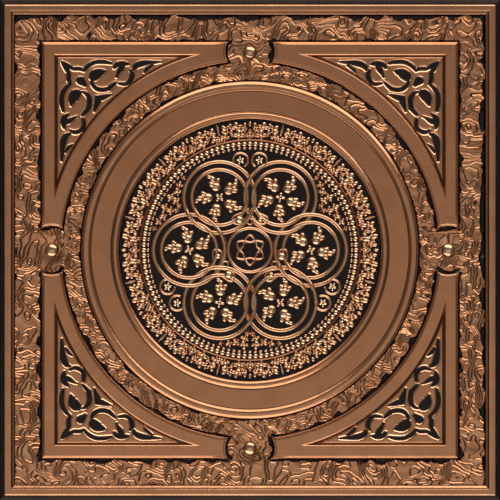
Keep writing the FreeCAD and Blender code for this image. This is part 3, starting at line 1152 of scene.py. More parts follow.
@dataclass(frozen=True)
class CornerPanels:
    """Four flat corner panels, each with a sunk spandrel of pierced scroll fretwork."""

    sheet: TileSheet
    line_points: int = 14
    end_points: int = 12
    arc_points: int = 96
    bevel: float = 3.0
    fret_edge: float = 235.4
    pocket_level: float = 2.9
    pocket_grow: float = 0.45
    fret_cell: float = 0.62
    tip_cut: float = 2.0

    def outline(self, out: float) -> np.ndarray:
        """Draw the upper right panel's outline, moved outwards, anticlockwise.

        Args:
            out: distance outwards, square to every edge.

        Returns:
            Rows of x and y: upper end, concave inner arc, right end, right edge and top edge.
        """
        s = self.sheet
        edge, arc, clear = s.panel_edge + out, s.panel_arc - out, s.boss_clearing - out
        pitch = s.boss_pitch
        end_x = math.sqrt(clear**2 - (edge - pitch) ** 2)
        arc_y = (arc**2 - clear**2 + pitch**2) / (2 * pitch)
        arc_x = math.sqrt(arc**2 - arc_y**2)
        start = math.degrees(math.atan2(edge - pitch, end_x))
        stop = math.degrees(math.atan2(arc_y - pitch, arc_x))
        end = polar(np.linspace(start, stop, self.end_points, endpoint=False), clear) + (0.0, pitch)
        turn = math.degrees(math.atan2(arc_y, arc_x))
        bow = polar(np.linspace(turn, 90 - turn, self.arc_points, endpoint=False), arc)
        other = polar(np.linspace(90 - stop, 90 - start, self.end_points, endpoint=False), clear)
        other = other + (pitch, 0.0)
        return np.concatenate([end, bow, other, self._edges(edge, end_x)])

    def opening(self, inward: float) -> np.ndarray:
        """Draw the spandrel's outline, moved into the opening, point for point as the panel's.

        Args:
            inward: distance into the opening.

        Returns:
            Rows of x and y, as many as the panel's outline has.
        """
        s = self.sheet
        edge, arc = s.opening_edge - inward, s.opening_arc + inward
        tip = math.sqrt(arc**2 - edge**2)
        turn = math.degrees(math.atan2(edge, tip) - self.tip_cut / arc)
        t = np.linspace(0, 1, self.end_points, endpoint=False)[:, None]
        first, last = np.array([tip + self.tip_cut, edge]), polar(turn, arc)
        nose = (1 - t) ** 2 * first + 2 * t * (1 - t) * np.array([tip, edge]) + t**2 * last
        bow = polar(np.linspace(turn, 90 - turn, self.arc_points, endpoint=False), arc)
        back = 1 - t
        other = (1 - back) ** 2 * first + 2 * back * (1 - back) * np.array([tip, edge]) + back**2 * last
        return np.concatenate([nose, bow, other[:, ::-1], self._edges(edge, tip + self.tip_cut)])

    def _edges(self, edge: float, end: float) -> np.ndarray:
        """Run up the right edge and back along the top edge, from one end to the other.

        Args:
            edge: distance of both edges from the middle.
            end: place along an edge at which it ends.

        Returns:
            Rows of x and y, without the last point.
        """
        near = 0.15
        even = np.linspace(end, edge, self.line_points)[:-1]
        along = np.concatenate([even, [edge - near]])
        right = np.column_stack([np.full(len(along), edge), along])
        back = np.concatenate([[edge, edge - near], even[:0:-1]])
        return np.concatenate([right, np.column_stack([back, np.full(len(back), edge)])])

    def border(self) -> Shell:
        """Carry the panel's pressed section round its outline.

        The section's outer part follows the panel's outline and its inner part, set apart from it by
        a plain distance, the opening's; the flat between them spans from one to the other, point for
        point.

        Returns:
            The closed shell of one panel.
        """
        s = self.sheet
        reach = s.panel_foot + s.foot_run
        apart = 100.0
        bends = [
            Bend(-reach, s.gauge, run=1.0),
            Bend(-s.panel_foot - 0.2, s.gauge, 0.2, worn=1.0, run=0.5),
            Bend(-s.panel_foot + 0.3, 1.7, 0.4, worn=0.02, run=0.4),
            Bend(-s.panel_foot + 1.0, 2.3, 0.3, worn=0.85, run=0.5),
            Bend(-0.6, s.panel_height - 1.1, 0.4, worn=0.1, run=0.28),
            Bend(2.6, s.panel_height, 0.6, worn=0.15, run=0.05),
            Bend(apart, s.panel_height, 0.5, worn=0.0, run=0.04),
            Bend(apart + self.bevel, s.spandrel_level - 0.35, run=0.5),
        ]
        section = pressed_profile(bends, s.gauge)
        rows = []
        for across, level, _ in section:
            flat = self.outline(-across) if across < apart / 2 else self.opening(across - apart)
            rows.append(np.column_stack([flat, np.full(len(flat), level)]))
        return lattice(np.stack(rows, axis=1), section[None, :, 2], True, True)

    def end_lips(self) -> Shell:
        """Raise a thin lip along each concave end of the upper right panel.

        Returns:
            The shell of the two lips.
        """
        end = self.outline(-1.0)[: self.end_points]
        path = spline(np.column_stack([end, np.full(len(end), 1.2)]), 4)
        lip = stroke(path, 1.1, self.sheet.panel_height - 0.3, Crest.ROUND, tone=-0.08)
        return joined([lip, lip.mirrored().turned(90.0)])

    def fretwork(self) -> Shell:
        """Press the spandrel's plate with its black pockets.

        On a square grid of distances u and v from the opening's straight edges, the plate slopes
        gently over the last two millimetres to a pocket and then drops to the pockets' level at its
        outline, and a narrow moat runs along the opening's edge. The grid stops under the border.

        Returns:
            The closed shell of one spandrel.
        """
        s = self.sheet
        under = 0.8
        foot, bow = s.opening_edge - self.bevel, s.opening_arc + self.bevel
        reach = foot - math.sqrt((bow - under) ** 2 - (foot + under) ** 2)
        count = int((reach + under) / self.fret_cell)
        line = np.arange(count + 1) * self.fret_cell - under
        far = foot - np.sqrt(np.maximum((bow - under) ** 2 - (foot - line) ** 2, 0))
        deep = np.floor((far[1:] + under) / self.fret_cell).astype(int)
        deep = np.minimum(np.maximum(deep, 1), count)
        column, row = np.meshgrid(np.arange(count + 1), np.arange(count + 1), indexing="ij")
        used = row <= np.concatenate([deep[:1], deep])[:, None]
        number = np.cumsum(used.ravel()).reshape(used.shape) - 1
        x, y = foot - line[column[used]], foot - line[row[used]]

        u, v = self.fret_edge - x, self.fret_edge - y
        pocket = np.full(u.shape, np.inf)
        for knots in FRET_POCKETS:
            path = spline(knots, 5)
            path[:, 2] = np.maximum(path[:, 2], 0.25)
            pocket = np.minimum(pocket, stroke_distance(u, v, path))
            pocket = np.minimum(pocket, stroke_distance(v, u, path))
        pocket = pocket - self.pocket_grow
        edge = np.minimum(np.minimum(foot - x, foot - y), np.hypot(x, y) - bow)
        moat = bell(edge, 0.5, 0.8)
        sunk = 0.38 * np.clip((2.0 - pocket) / 1.9, 0, 1) + 0.62 * smooth(0.2, -0.7, pocket)
        level = s.spandrel_level - (s.spandrel_level - self.pocket_level) * sunk - 0.7 * moat
        lip = bell(pocket, 0.9, 0.7)
        # Gold along the pockets' rims is worn by rubbing and painted as highlights; black in the pockets
        # and the moat is patina.
        shade = 0.06 - 0.26 * lip + 1.2 * smooth(0.2, -0.6, pocket) + 0.7 * moat
        shade = np.clip(shade, -GILT_AND_HIGHLIGHT, 1)
        points = np.column_stack([x, y, level])

        i, j = np.nonzero(np.arange(count)[None, :] < deep[:, None])
        corners = [number[i, j], number[i + 1, j], number[i + 1, j + 1], number[i, j + 1]]
        plate = Shell(points, [np.stack(corners, axis=-1)], shade)
        steps = np.append(deep, 0)
        stair = [number[k, steps[k] : steps[k - 1] + 1] for k in range(count, 0, -1)]
        rim = np.concatenate(
            [number[:-1, 0], *stair, [number[0, deep[0]]], number[0, deep[0] - 1 : 0 : -1]]
        )
        return closed_below(plate, rim, self.pocket_level - s.gauge)


def stroke_distance(u: np.ndarray, v: np.ndarray, path: np.ndarray) -> np.ndarray:
    """Return the distance to a tapering stroke, less than nothing inside it.

    For each run of the path it is the distance to the run's nearest point, less the half width
    there; the least over all the runs counts.

    Args:
        u: places along one axis.
        v: places along the other.
        path: rows of place and half width.

    Returns:
        The signed distances.
    """
    best = np.full(u.shape, np.inf)
    for start, end in zip(path[:-1], path[1:]):
        run = end - start
        length = run[0] ** 2 + run[1] ** 2
        share = np.clip(((u - start[0]) * run[0] + (v - start[1]) * run[1]) / length, 0, 1)
        away = np.hypot(u - start[0] - share * run[0], v - start[1] - share * run[1])
        best = np.minimum(best, away - start[2] - share * run[2])
    return best


# Pockets of the scroll fretwork: distances from the spandrel's two straight lines, and half width
FRET_POCKETS = (
    ((7.0, 7.0, 0.5), (11.0, 9.8, 1.8), (16.0, 13.2, 2.4), (21.2, 15.0, 0.5)),
    ((15.2, 18.7, 0.8), (15.6, 22.5, 1.8), (15.6, 29.0, 1.8), (17.0, 33.0, 1.4)),
    ((17.7, 34.1, 1.2), (11.8, 39.7, 1.9), (7.6, 48.2, 2.0), (7.2, 58.0, 2.0), (9.0, 66.8, 1.0)),
    ((30.1, 30.1, 4.5), (33.0, 32.6, 2.6), (36.5, 35.5, 0.6)),
    ((42.6, 27.5, 1.2), (44.5, 22.8, 3.0), (49.5, 20.8, 4.4), (54.5, 19.8, 3.4), (60.2, 18.2, 0.4)),
    ((51.5, 23.5, 3.0), (47.5, 27.0, 2.4), (43.8, 30.0, 1.0)),
    ((43.6, 32.0, 0.8), (45.4, 36.2, 1.6), (50.3, 40.0, 2.2), (57.2, 41.1, 2.2), (64.1, 39.7, 2.2)),
    ((64.1, 39.7, 2.2), (69.7, 34.8, 1.6), (72.5, 32.0, 0.6)),
    ((71.0, 14.5, 1.0), (74.5, 10.8, 2.6), (80.0, 9.8, 3.2), (85.0, 9.6, 1.8), (88.5, 10.5, 0.4)),
    ((80.0, 11.5, 3.0), (78.5, 16.5, 2.6), (75.0, 22.5, 1.0), (73.6, 26.0, 0.4)),
    ((90.5, 17.3, 1.0), (92.6, 22.9, 2.0), (90.5, 29.9, 2.2), (84.9, 34.1, 1.8), (76.6, 33.4, 1.2)),
    ((94.2, 17.5, 0.9), (97.0, 12.5, 2.6), (103.0, 9.6, 3.2), (111.0, 8.4, 2.5), (119.5, 7.8, 1.5)),
    ((119.5, 7.8, 1.5), (124.0, 7.4, 0.9), (127.5, 7.2, 0.4)),
    ((107.6, 20.2, 0.5), (111.0, 15.6, 1.6), (116.5, 11.4, 1.1)),
    ((49.5, 49.5, 1.0), (53.5, 51.0, 3.0), (59.0, 49.5, 2.4), (67.5, 46.8, 0.4)),
)


@dataclass(frozen=True)
class RingMoulding:
    """The round moulding: an outer bead, a flat band and an inner lip."""

    sheet: TileSheet
    stations: int = 400
    ring_height: float = 8.6
    bead_crest: float = 4.0
    band_height: float = 6.2
    lip_radius: float = 163.7
    lip_height: float = 7.8
    lip_width: float = 6.8
    lip_crest: float = 2.8

    def shell(self) -> Shell:
        """Turn the moulding's pressed section round the tile's axis.

        Returns:
            The closed shell.
        """
        s = self.sheet
        out, into = s.ring_radius + s.bead_width / 2, s.ring_radius - s.bead_width / 2
        rise = (self.band_height - s.gauge) * s.slope
        lip_out, lip_in = self.lip_radius + self.lip_width / 2, self.lip_radius - self.lip_width / 2
        crest, lip = self.bead_crest / 2, self.lip_crest / 2
        band, crown = self.band_height, self.ring_height
        bends = [
            Bend(-(out + rise + s.foot_run), s.gauge, run=1.0),
            Bend(-(out + rise), s.gauge, 0.5, worn=1.0, run=0.6),
            Bend(-(out + 0.9), crown - 1.5, 0.6, worn=0.2, run=0.12),
            Bend(-(s.ring_radius + crest), crown, 0.9, worn=0.0, run=0.05),
            Bend(-(s.ring_radius - crest), crown, 0.9, worn=0.0, run=0.12),
            Bend(-(into - 0.6), crown - 1.5, 0.5, worn=0.1, run=0.7),
            Bend(-(into - 1.1), band - 0.1, 0.3, worn=0.8, run=0.5),
            Bend(-(into - 2.0), band, 0.3, worn=0.10, run=0.10),
            Bend(-(lip_out + 2.6), band, 0.5, worn=0.15, run=0.5),
            Bend(-(lip_out + 1.2), band - 0.2, 0.4, worn=0.85, run=0.2),
            Bend(-(self.lip_radius + lip), self.lip_height, 0.9, worn=0.0, run=0.04),
            Bend(-(self.lip_radius - lip), self.lip_height, 0.9, worn=0.0, run=0.12),
            Bend(-(lip_in - 1.3), self.lip_height - 1.5, 0.6, worn=0.1, run=0.85),
            Bend(-(lip_in - rise), s.gauge, 0.5, worn=1.0, run=1.0),
            Bend(-(lip_in - rise - s.foot_run), s.gauge, run=1.0),
        ]
        section = pressed_profile(bends, s.gauge, 2)
        turn = np.linspace(0, 360, self.stations, endpoint=False)
        flat = polar(turn[:, None], -section[None, :, 0])
        level = np.broadcast_to(section[:, 1], flat.shape[:2])
        return lattice(np.dstack([flat, level]), section[None, :, 2], True, True)


@dataclass(frozen=True)
class Medallion:
    """The round medallion: black ground, leaf band, bead course, laced loops, curls and star."""

    sheet: TileSheet
    ground_radius: float = 157.4
    tent_count: int = 12
    leaf_rise: float = 2.8
    course_count: int = 120
    course_outer: float = 128.8
    course_inner: float = 123.7
    thread_radius: float = 133.6
    loop_count: int = 6
    loop_pitch: float = 73.8
    loop_outer: float = 43.2
    loop_inner: float = 33.6
    loop_stations: int = 168
    strand_half: float = 2.55
    strand_rise: float = 2.3
    weave: float = 0.8
    weave_reach: float = 5.5
    scroll_pitch: float = 109.4
    scroll_lean: float = 6.0
    scroll_radius: float = 9.0
    eye_radius: float = 26.5
    star_radius: float = 19.4
    curl_count: int = 5
    curl_start: float = -12.6
    curl_pitch: float = 18.2
    curl_scale: float = 1.1

    @property
    def base(self) -> float:
        """Level of the black ground."""
        return self.sheet.gauge

    def ground(self) -> Shell:
        """Lay the flat black disc on which the ornament stands, in rings about its middle.

        Returns:
            The closed shell.
        """
        stations = 240
        radius = np.array([self.ground_radius, self.ground_radius - 0.3, 120.0, 80.0, 40.0, 6.0])
        turn = np.linspace(0, 360, stations, endpoint=False)
        flat = polar(turn[:, None], radius[None, :])
        top = np.dstack([flat, np.full(flat.shape[:2], self.base)])
        disc = lattice(top, np.full((1, len(radius)), 0.97), True, False)
        hub = np.arange(stations) * len(radius) + len(radius) - 1
        disc.faces.append(hub[None])
        return closed_below(disc, np.arange(stations) * len(radius), 0.0)

    def leaf_band(self) -> Shell:
        """Raise the band of leaves: twelve equal tents of leaves, each half the mirror of the other.

        Returns:
            The shell of the whole band.
        """
        rise, base = self.leaf_rise, self.base
        spray = knobs(SPRAY_LOBES, base)
        parts = [spray.stamped(polar_places(BAND_SPRAYS))]
        parts += [leaf(polar_knots(rows), rise * part, base) for part, rows in BAND_LEAVES]
        for turn, out, along, across, part in BAND_LOBES:
            lobe = bead(along, across, rise * part, base, around=9, gilt_and_highlight=0.35)
            parts.append(lobe.stamped([(*polar(turn, out), turn, 1.0)]))
        half = joined(parts)
        stems = [leaf(polar_knots(rows), rise * part, base) for part, rows in BAND_STEMS]
        crown = bead(4.2, 2.4, rise, base, around=9, gilt_and_highlight=0.4).stamped([(153.4, 0.0, 0.0, 1.0)])
        heart = spray.stamped([(139.4, 0.0, 0.0, 0.74)])
        return joined([half, half.mirrored(), *stems, crown, heart]).around(self.tent_count)

    def bead_course(self) -> Shell:
        """Set two courses of beads side by side, and the thread line outside them.

        Returns:
            The shell of beads and thread.
        """
        turns = np.arange(self.course_count) * 360.0 / self.course_count
        # The beads' domes are gold, worn by rubbing and painted as highlights.
        large = bead(3.4, 3.35, 3.0, self.base, around=12, gilt_and_highlight=0.7)
        small = bead(1.9, 2.6, 1.8, self.base, around=8, gilt_and_highlight=0.3)
        outer = np.column_stack([polar(turns, self.course_outer), turns, np.ones(len(turns))])
        inner = np.column_stack([polar(turns, self.course_inner), turns, np.ones(len(turns))])
        path = self._circle(self.thread_radius, 1.05, 300)
        thread = stroke(path, 1.2, self.base, Crest.ROUND, closed=True, tone=0.3)
        return joined([large.stamped(outer), small.stamped(inner), thread])

    def loops(self) -> Shell:
        """Lace six double loops through each other.

        Each loop is two rings about its own middle. Where a neighbour's ring crosses, one rises and
        the other dips by the weave, turn and turn about: the level gets a bell curve at every
        crossing, up at one and down at the next.

        Returns:
            The shell of the twelve rings.
        """
        ring = []
        for radius in (self.loop_outer, self.loop_inner):
            turn = np.linspace(0, 360, self.loop_stations, endpoint=False)
            level = np.full(len(turn), self.base)
            for crossing, up in self._crossings(radius):
                off = (turn - crossing + 180.0) % 360.0 - 180.0
                reach = np.radians(off) * radius
                level += up * self.weave * bell(reach, 0.0, self.weave_reach)
            path = self._circle(radius, self.strand_half, self.loop_stations) + (self.loop_pitch, 0.0, 0.0)
            lifted = np.maximum(level, self.base)
            rise = self.strand_rise + np.minimum(level - self.base, 0.0)
            ring.append(self._strand(path, rise, lifted))
        return joined(ring).around(self.loop_count)

    def _crossings(self, radius: float) -> list[tuple[float, float]]:
        """Find where the neighbours' outer rings cross a ring of the loop on the X axis.

        Args:
            radius: radius of the ring.

        Returns:
            Pairs of angle about the loop's middle, in degrees, and +1 over or -1 under.
        """
        apart = 2 * self.loop_pitch * math.sin(math.pi / self.loop_count)
        cosine = (radius**2 + apart**2 - self.loop_outer**2) / (2 * radius * apart)
        open_angle = math.degrees(math.acos(min(cosine, 1.0)))
        toward = 90.0 + 180.0 / self.loop_count
        return [
            (toward - open_angle, 1.0),
            (toward + open_angle, -1.0),
            (-toward + open_angle, -1.0),
            (-toward - open_angle, 1.0),
        ]

    def _circle(self, radius: float, half: float, count: int) -> np.ndarray:
        """Return a closed ring path about the tile's middle, of a radius, half width and point count."""
        turn = np.linspace(0, 360, count, endpoint=False)
        return np.column_stack([polar(turn, radius), np.full(count, half)])

    def _strand(
        self, path: np.ndarray, rise: np.ndarray | float, base: np.ndarray | float
    ) -> Shell:
        """Carry the strands' round section along a closed path, with dark feet.

        Args:
            path: rows of x, y and half width.
            rise: height of the crest above the base.
            base: level on which the strand stands.

        Returns:
            The closed shell.
        """
        return stroke(path, rise, base, Crest.ROUND, closed=True, foot=0.8, tone=STRAND_TONE)

    def leaf_curls(self) -> Shell:
        """Set curled leaves round a small flower of four petals in every loop.

        Returns:
            The shell of all the curls and flowers.
        """
        base = self.base
        curl = knobs(CURL_KNOBS, base, 12)
        petal = bead(3.2, 2.1, 3.0, base, around=8, gilt_and_highlight=0.7)
        turns = (20.0, 110.0, 200.0, 290.0)
        flower = petal.stamped([(*polar(turn, 3.4), turn, 1.0) for turn in turns])
        turns = self.curl_start + 360.0 / self.curl_count * np.arange(self.curl_count)
        size = np.full(self.curl_count, self.curl_scale)
        spots = np.column_stack([polar(turns, self.curl_pitch), turns, size])
        plant = joined([curl.stamped(spots), flower]).stamped([(self.loop_pitch, 0.0, 0.0, 1.0)])
        return plant.around(self.loop_count)

    def fillers(self) -> Shell:
        """Fill the gaps between loops and bead course: scroll pairs and leaf clusters by turns.

        Returns:
            The shell of the fillers.
        """
        base = self.base
        scroll = []
        for side in (-1.0, 1.0):
            middle = polar(90.0 + side * self.scroll_lean, self.scroll_pitch)
            turn = np.linspace(-60.0, 250.0, 36) if side > 0 else np.linspace(240.0, -70.0, 36)
            curl = np.column_stack([polar(turn, self.scroll_radius) + middle, np.full(36, 1.8)])
            scroll.append(stroke(curl, self.strand_rise, base, Crest.ROUND, tone=STRAND_TONE))
            petal = bead(2.5, 1.7, 2.4, base, around=8)
            turns = (30.0, 102.0, 174.0, 246.0, 318.0)
            scroll.append(petal.stamped([(*(polar(t, 2.9) + middle), t, 1.0) for t in turns]))
        spray = knobs(SPRAY_LOBES, base)
        half = spray.stamped(polar_places(CLUSTER_SPRAYS))
        clusters = joined([half, half.mirrored()]).around(3, 30.0)
        return joined([joined(scroll).around(3), clusters])

    def centre(self) -> Shell:
        """Set the star in its eye, and the teardrops, balls and eyelets round it.

        The star is two woven triangles. The line of each is the mean of a straight triangle's radius
        and of one that swings in and out with the cosine of three turns, cut off at the points.

        Returns:
            The shell of the middle.
        """
        base = self.base
        circle = self._circle(self.eye_radius, 2.2, 144)
        parts = [self._strand(circle, self.strand_rise, base)]
        turn = np.linspace(0, 360, 120, endpoint=False)
        for start in (90.0, 30.0):
            off = np.radians((turn - start + 60.0) % 120.0 - 60.0)
            straight = self.star_radius * 0.5 / np.cos(np.pi / 3 - np.abs(off))
            lobed = self.star_radius * (0.72 + 0.24 * np.cos(3 * off))
            blend = np.minimum(0.5 * (straight + lobed), self.star_radius * 0.93)
            path = np.column_stack([polar(turn, blend), np.full(len(turn), 1.6)])
            weave = 0.35 * np.cos(np.radians(turn - start) * 6.0)
            parts.append(self._strand(path, 2.1 + weave, base))
        tears = []
        for side, ball in ((1.0, 3.4), (-1.0, 5.4)):
            knots = [(side * x, y, w) for x, y, w in TEAR_PATH]
            path = spline([*knots, knots[0]], 5)[:-1]
            if side > 0:
                path = path[::-1]
            tears.append(self._strand(path, 2.1, base))
            knob = bead(ball, ball, ball, base, around=14, gilt_and_highlight=0.8)
            tears.append(knob.stamped([(side * 12.8, 37.2, 0.0, 1.0)]))
        eyelet = self._circle(3.6, 1.3, 24) + (0.0, 34.6, 0.0)
        ring = stroke(eyelet, 2.2, base, Crest.ROUND, closed=True, tone=STRAND_TONE)
        return joined([*parts, joined([*tears, ring]).around(3)])


# One spray of leaf lobes, tip along +X: x, y, turn, half sizes along and across, rise and gilding.
# The gilding paints the domes gold as highlights; the rear lobe's negative gilding paints it darker as
# painted shade
SPRAY_LOBES = (
    (1.6, 0.2, 0.0, 5.6, 3.9, 3.4, 0.35),
    (-1.4, 4.0, 75.0, 4.0, 3.0, 2.7, 0.2),
    (-1.6, -3.8, -70.0, 4.0, 2.9, 2.5, 0.05),
    (-5.2, 0.4, 180.0, 3.0, 2.4, 2.1, -0.4),
)

# Sprays of half a tent of the leaf band: angle, radius, lean from the radius and scale
BAND_SPRAYS = (
    (5.4, 141.4, -6.0, 1.02),
    (6.2, 151.4, 8.0, 1.0),
    (11.7, 150.4, 34.0, 0.92),
    (12.3, 141.0, -16.0, 0.86),
    (3.0, 146.6, 24.0, 0.7),
)

# Leaves of half a tent: share of the height, then angle, radius and half width
BAND_LEAVES = (
    (0.9, ((8.0, 138.4, 0.8), (9.0, 141.4, 2.0), (10.2, 145.6, 0.8))),
    (0.8, ((0.3, 145.6, 0.9), (1.2, 141.6, 1.1), (2.6, 138.0, 1.3), (3.4, 137.0, 0.8))),
)

# Single lobes of half a tent: angle, radius, half sizes along and across, share of the height
BAND_LOBES = (
    (2.3, 151.6, 4.6, 2.7, 0.95),
    (9.1, 152.4, 4.4, 2.6, 0.85),
    (8.9, 145.4, 3.2, 2.2, 0.8),
    (14.4, 138.2, 2.8, 2.2, 0.8),
)

# Stems on the two middle lines of a tent: share of the height, then angle, radius and half width
BAND_STEMS = (
    (0.8, ((0.0, 146.8, 1.2), (0.0, 144.4, 1.8), (0.0, 142.0, 0.9))),
    (0.7, ((15.0, 143.6, 0.8), (15.0, 150.4, 1.7), (15.0, 157.0, 0.5))),
)

# One curled leaf about its own middle, head inwards: knobs as in a spray
CURL_KNOBS = (
    (-4.0, 0.4, 0.0, 6.0, 6.0, 4.2, 0.4),
    (-0.4, 4.0, 40.0, 4.6, 3.4, 4.6, 0.4),
    (1.0, -3.6, -30.0, 4.6, 3.2, 3.6, 0.25),
    (5.0, 1.2, 15.0, 4.4, 3.4, 4.0, 0.4),
    (8.2, 4.0, 55.0, 3.4, 2.4, 3.4, 0.5),
)

# Sprays of half a cluster between loops and course: angle, radius, lean from the radius and scale
CLUSTER_SPRAYS = (
    (1.5, 101.8, 10.0, 0.56),
    (3.7, 108.6, 20.0, 0.80),
    (3.4, 116.4, 0.0, 0.80),
    (8.8, 113.6, 40.0, 0.78),
    (13.0, 116.8, 60.0, 0.70),
    (17.4, 119.0, 70.0, 0.50),
)

# Closed teardrop beside the eye: x, y and half width
TEAR_PATH = (
    (2.0, 50.0, 1.3),
    (11.0, 45.0, 1.4),
    (20.0, 40.6, 1.5),
    (21.6, 35.6, 1.5),
    (16.6, 31.6, 1.5),
    (9.4, 33.4, 1.4),
    (5.0, 38.6, 1.3),
    (0.6, 45.0, 1.2),
)


@dataclass(frozen=True)
class SideBosses:
    """The four round bosses between the panels' ends.

    Attributes:
        radius: radius at the sheet.
        height: height of the top above the sheet.
        dome: share of the height by which the dome falls to its edge.
        stations: points round a boss.
    """

    sheet: TileSheet
    radius: float = 8.0
    height: float = 5.75
    dome: float = 0.5
    stations: int = 32

    def shell(self) -> Shell:
        """Raise a dome at the middle of each side.

        A point is (r u cos v, r u sin v) about the boss; its height falls from the top by the
        dome's share of it times u u, and the outermost ring stands on the sheet.

        Returns:
            The shell of the four bosses.
        """
        s = self.sheet
        share = np.append(np.linspace(0.04, 0.97, 8), 1.0)[None, :]
        turn = np.radians(np.linspace(0, 360, self.stations, endpoint=False))[:, None]
        flat = self.radius * share
        level = s.gauge + self.height * (1 - self.dome * share**2) + 0 * turn
        level[:, -1] = s.gauge
        points = np.stack([flat * np.cos(turn), flat * np.sin(turn), level], axis=-1)
        shade = 1.1 * share**12 - 0.12
        cap = lattice(points[:, ::-1], shade[:, ::-1], True, False)
        foot = np.arange(self.stations) * share.size
        cap.faces.append((foot + share.size - 1)[None])
        ball = closed_below(cap, foot, 0.0)
        return ball.stamped([(*polar(90.0 * k, s.boss_pitch), 0.0, 1.0) for k in range(4)])


@dataclass(frozen=True)
class Softbox:
    """A rectangular lamp that faces the tile.

    Attributes:
        name: name of the lamp.
        azimuth: direction from the tile, in degrees from +X.
        elevation: height above the floor, in degrees.
        power: strength in watts.
        distance: distance from the tile's middle, in metres.
        size: width and height of the lamp, in metres.
    """

    name: str
    azimuth: float
    elevation: float
    power: float
    distance: float = 1.9
    size: tuple[float, float] = (2.6, 0.85)

    def hang(self) -> None:
        """Put the lamp into the scene."""
        lamp = bpy.data.lights.new(self.name, "AREA")
        lamp.shape = "RECTANGLE"
        lamp.size, lamp.size_y = self.size
        lamp.energy = self.power
        holder = bpy.data.objects.new(self.name, lamp)
        bpy.context.scene.collection.objects.link(holder)
        lift = math.radians(self.elevation)
        flat = polar(self.azimuth, self.distance * math.cos(lift))
        holder.location = (*flat, self.distance * math.sin(lift))
        holder.rotation_euler = (math.pi / 2 - lift, 0.0, math.radians(self.azimuth + 90.0))


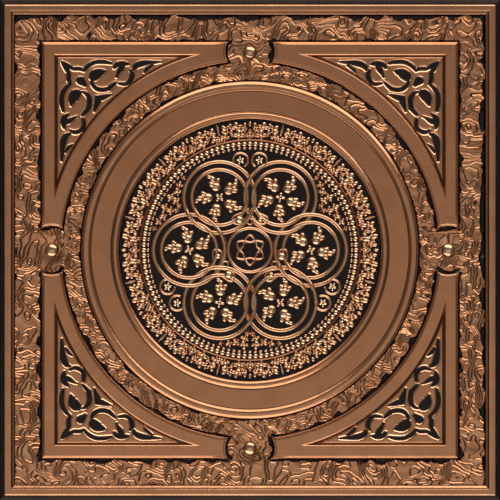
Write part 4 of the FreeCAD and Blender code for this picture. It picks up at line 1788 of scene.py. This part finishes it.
@dataclass(frozen=True)
class Studio:
    """Pale floor, soft light and a camera straight above the tile, in metres.

    Attributes:
        floor_side: side of the floor.
        floor_edge: level of the floor's underside, below nothing.
        floor_drop: gap between the tile's underside and the floor's top.
        picture_width: width of the picture at the focus level.
        lens: focal length, in millimetres.
        sensor: width of the sensor, in millimetres.
        focus_level: level of the tile's top.
        zenith: strength of the sky overhead.
        horizon: strength of the sky at the sides.
        horizon_gain: what it gains to the north and south.
        south_gain: how fast the sky overhead grows to the south.
        tilt_span: the direction's Y up to which it grows.
        fade: the direction's Z at which the sky has left the horizon's strength, and the zenith's.
        softboxes: the lamps.
    """

    floor_side: float = 6.0
    floor_edge: float = 0.02
    floor_drop: float = 0.0002
    picture_width: float = 0.6048
    lens: float = 180.0
    sensor: float = 36.0
    focus_level: float = 0.0095
    zenith: float = 0.495
    horizon: float = 0.14
    horizon_gain: float = 0.3
    south_gain: float = 2.2
    tilt_span: float = 0.35
    fade: tuple[float, float] = (0.74, 0.94)
    softboxes: tuple[Softbox, ...] = (
        Softbox("softbox_north", 78.0, 44.0, 20.0),
        Softbox("softbox_south", 260.0, 32.0, 19.0),
    )

    def floor(self, finish: bpy.types.Material) -> bpy.types.Object:
        """Lay the floor under the tile, a broad slab with its top a hair below level zero.

        Args:
            finish: the floor's material.

        Returns:
            The floor.
        """
        half = self.floor_side / 2
        corner = ((-half, -half), (half, -half), (half, half), (-half, half))
        points = [(x, y, z) for z in (-self.floor_edge, -self.floor_drop) for x, y in corner]
        sides = [(k, (k + 1) % 4, (k + 1) % 4 + 4, k + 4) for k in range(4)]
        mesh = bpy.data.meshes.new("studio_floor")
        mesh.from_pydata(points, [], [(3, 2, 1, 0), (4, 5, 6, 7), *sides])
        mesh.materials.append(finish)
        floor = bpy.data.objects.new("studio_floor", mesh)
        bpy.context.scene.collection.objects.link(floor)
        return floor

    def light(self) -> None:
        """Set the sky, palest overhead and to the south, and the softboxes.

        The sky's strength is the zenith's times one less the gain times the direction's Y, which
        fades to the horizon's as the direction sinks. The horizon is darkest to the sides, and gains
        with the square of Y.
        """
        world = bpy.data.worlds.new("studio")
        world.use_nodes = True
        tree = world.node_tree
        nodes, links = tree.nodes, tree.links
        split = nodes.new("ShaderNodeSeparateXYZ")
        links.new(nodes.new("ShaderNodeTexCoord").outputs["Generated"], split.inputs["Vector"])
        north, up = split.outputs["Y"], split.outputs["Z"]
        span, lean = self.tilt_span, self.south_gain * self.tilt_span
        tilt = nodes.new("ShaderNodeMapRange")
        tilt.inputs["From Min"].default_value = -span
        tilt.inputs["From Max"].default_value = span
        tilt.inputs["To Min"].default_value = self.zenith * (1 + lean)
        tilt.inputs["To Max"].default_value = self.zenith * (1 - lean)
        links.new(north, tilt.inputs["Value"])
        square = math_node(tree, "MULTIPLY", north, north)
        rim = math_node(tree, "MULTIPLY_ADD", square, self.horizon_gain, self.horizon)
        fade = nodes.new("ShaderNodeMapRange")
        fade.inputs["From Min"].default_value, fade.inputs["From Max"].default_value = self.fade
        links.new(rim, fade.inputs["To Min"])
        links.new(tilt.outputs["Result"], fade.inputs["To Max"])
        links.new(up, fade.inputs["Value"])
        links.new(fade.outputs["Result"], nodes["Background"].inputs["Strength"])
        nodes["Background"].inputs["Color"].default_value = (1.0, 1.0, 1.0, 1.0)
        bpy.context.scene.world = world
        for softbox in self.softboxes:
            softbox.hang()

    def camera(self) -> None:
        """Look straight down from far enough that the picture's width spans the measured field."""
        eye = bpy.data.cameras.new("camera")
        eye.lens = self.lens
        eye.sensor_width = self.sensor
        eye.clip_end = 50.0
        holder = bpy.data.objects.new("camera", eye)
        bpy.context.scene.collection.objects.link(holder)
        away = self.picture_width * self.lens / self.sensor
        holder.location = (0.0, 0.0, self.focus_level + away)
        bpy.context.scene.camera = holder


def main() -> None:
    """Build the tile's pieces in order, then the studio."""
    logging.basicConfig(level=logging.INFO, format="%(name)s %(message)s")
    bpy.context.scene.view_settings.view_transform = "Standard"
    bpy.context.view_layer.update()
    low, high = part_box(SHEET_NODE)
    sheet = TileSheet(side=(high[0] - low[0]) / MM)
    copper = CopperFinish().material()

    dress("edge_rail", EdgeRail(sheet).shell(), copper)
    field = BurlField(sheet)
    for side, strip in zip(("right", "top", "left", "bottom"), field.channel()):
        dress(f"field_{side}", strip, copper)
    dress("field_round_ring", joined([field.round_ring(), field.side_gap()]), copper)
    panels = CornerPanels(sheet)
    border, fret = joined([panels.border(), panels.end_lips()]), panels.fretwork()
    for quarter, corner in enumerate(("upper_right", "upper_left", "lower_left", "lower_right")):
        dress(f"panel_{corner}", border.turned(90.0 * quarter), copper)
        dress(f"fretwork_{corner}", fret.turned(90.0 * quarter), copper)
    dress("ring_moulding", RingMoulding(sheet).shell(), copper)
    medallion = Medallion(sheet)
    dress("medallion_ground", medallion.ground(), copper)
    dress("leaf_band", medallion.leaf_band(), copper)
    dress("bead_course", medallion.bead_course(), copper)
    dress("laced_loops", medallion.loops(), copper)
    dress("leaf_curls", medallion.leaf_curls(), copper)
    dress("gap_fillers", medallion.fillers(), copper)
    dress("star_and_eye", medallion.centre(), copper)
    dress("side_bosses", SideBosses(sheet).shell(), copper)

    studio = Studio()
    studio.floor(FloorFinish().material())
    studio.light()
    studio.camera()


if __name__ == "__main__":
    main()
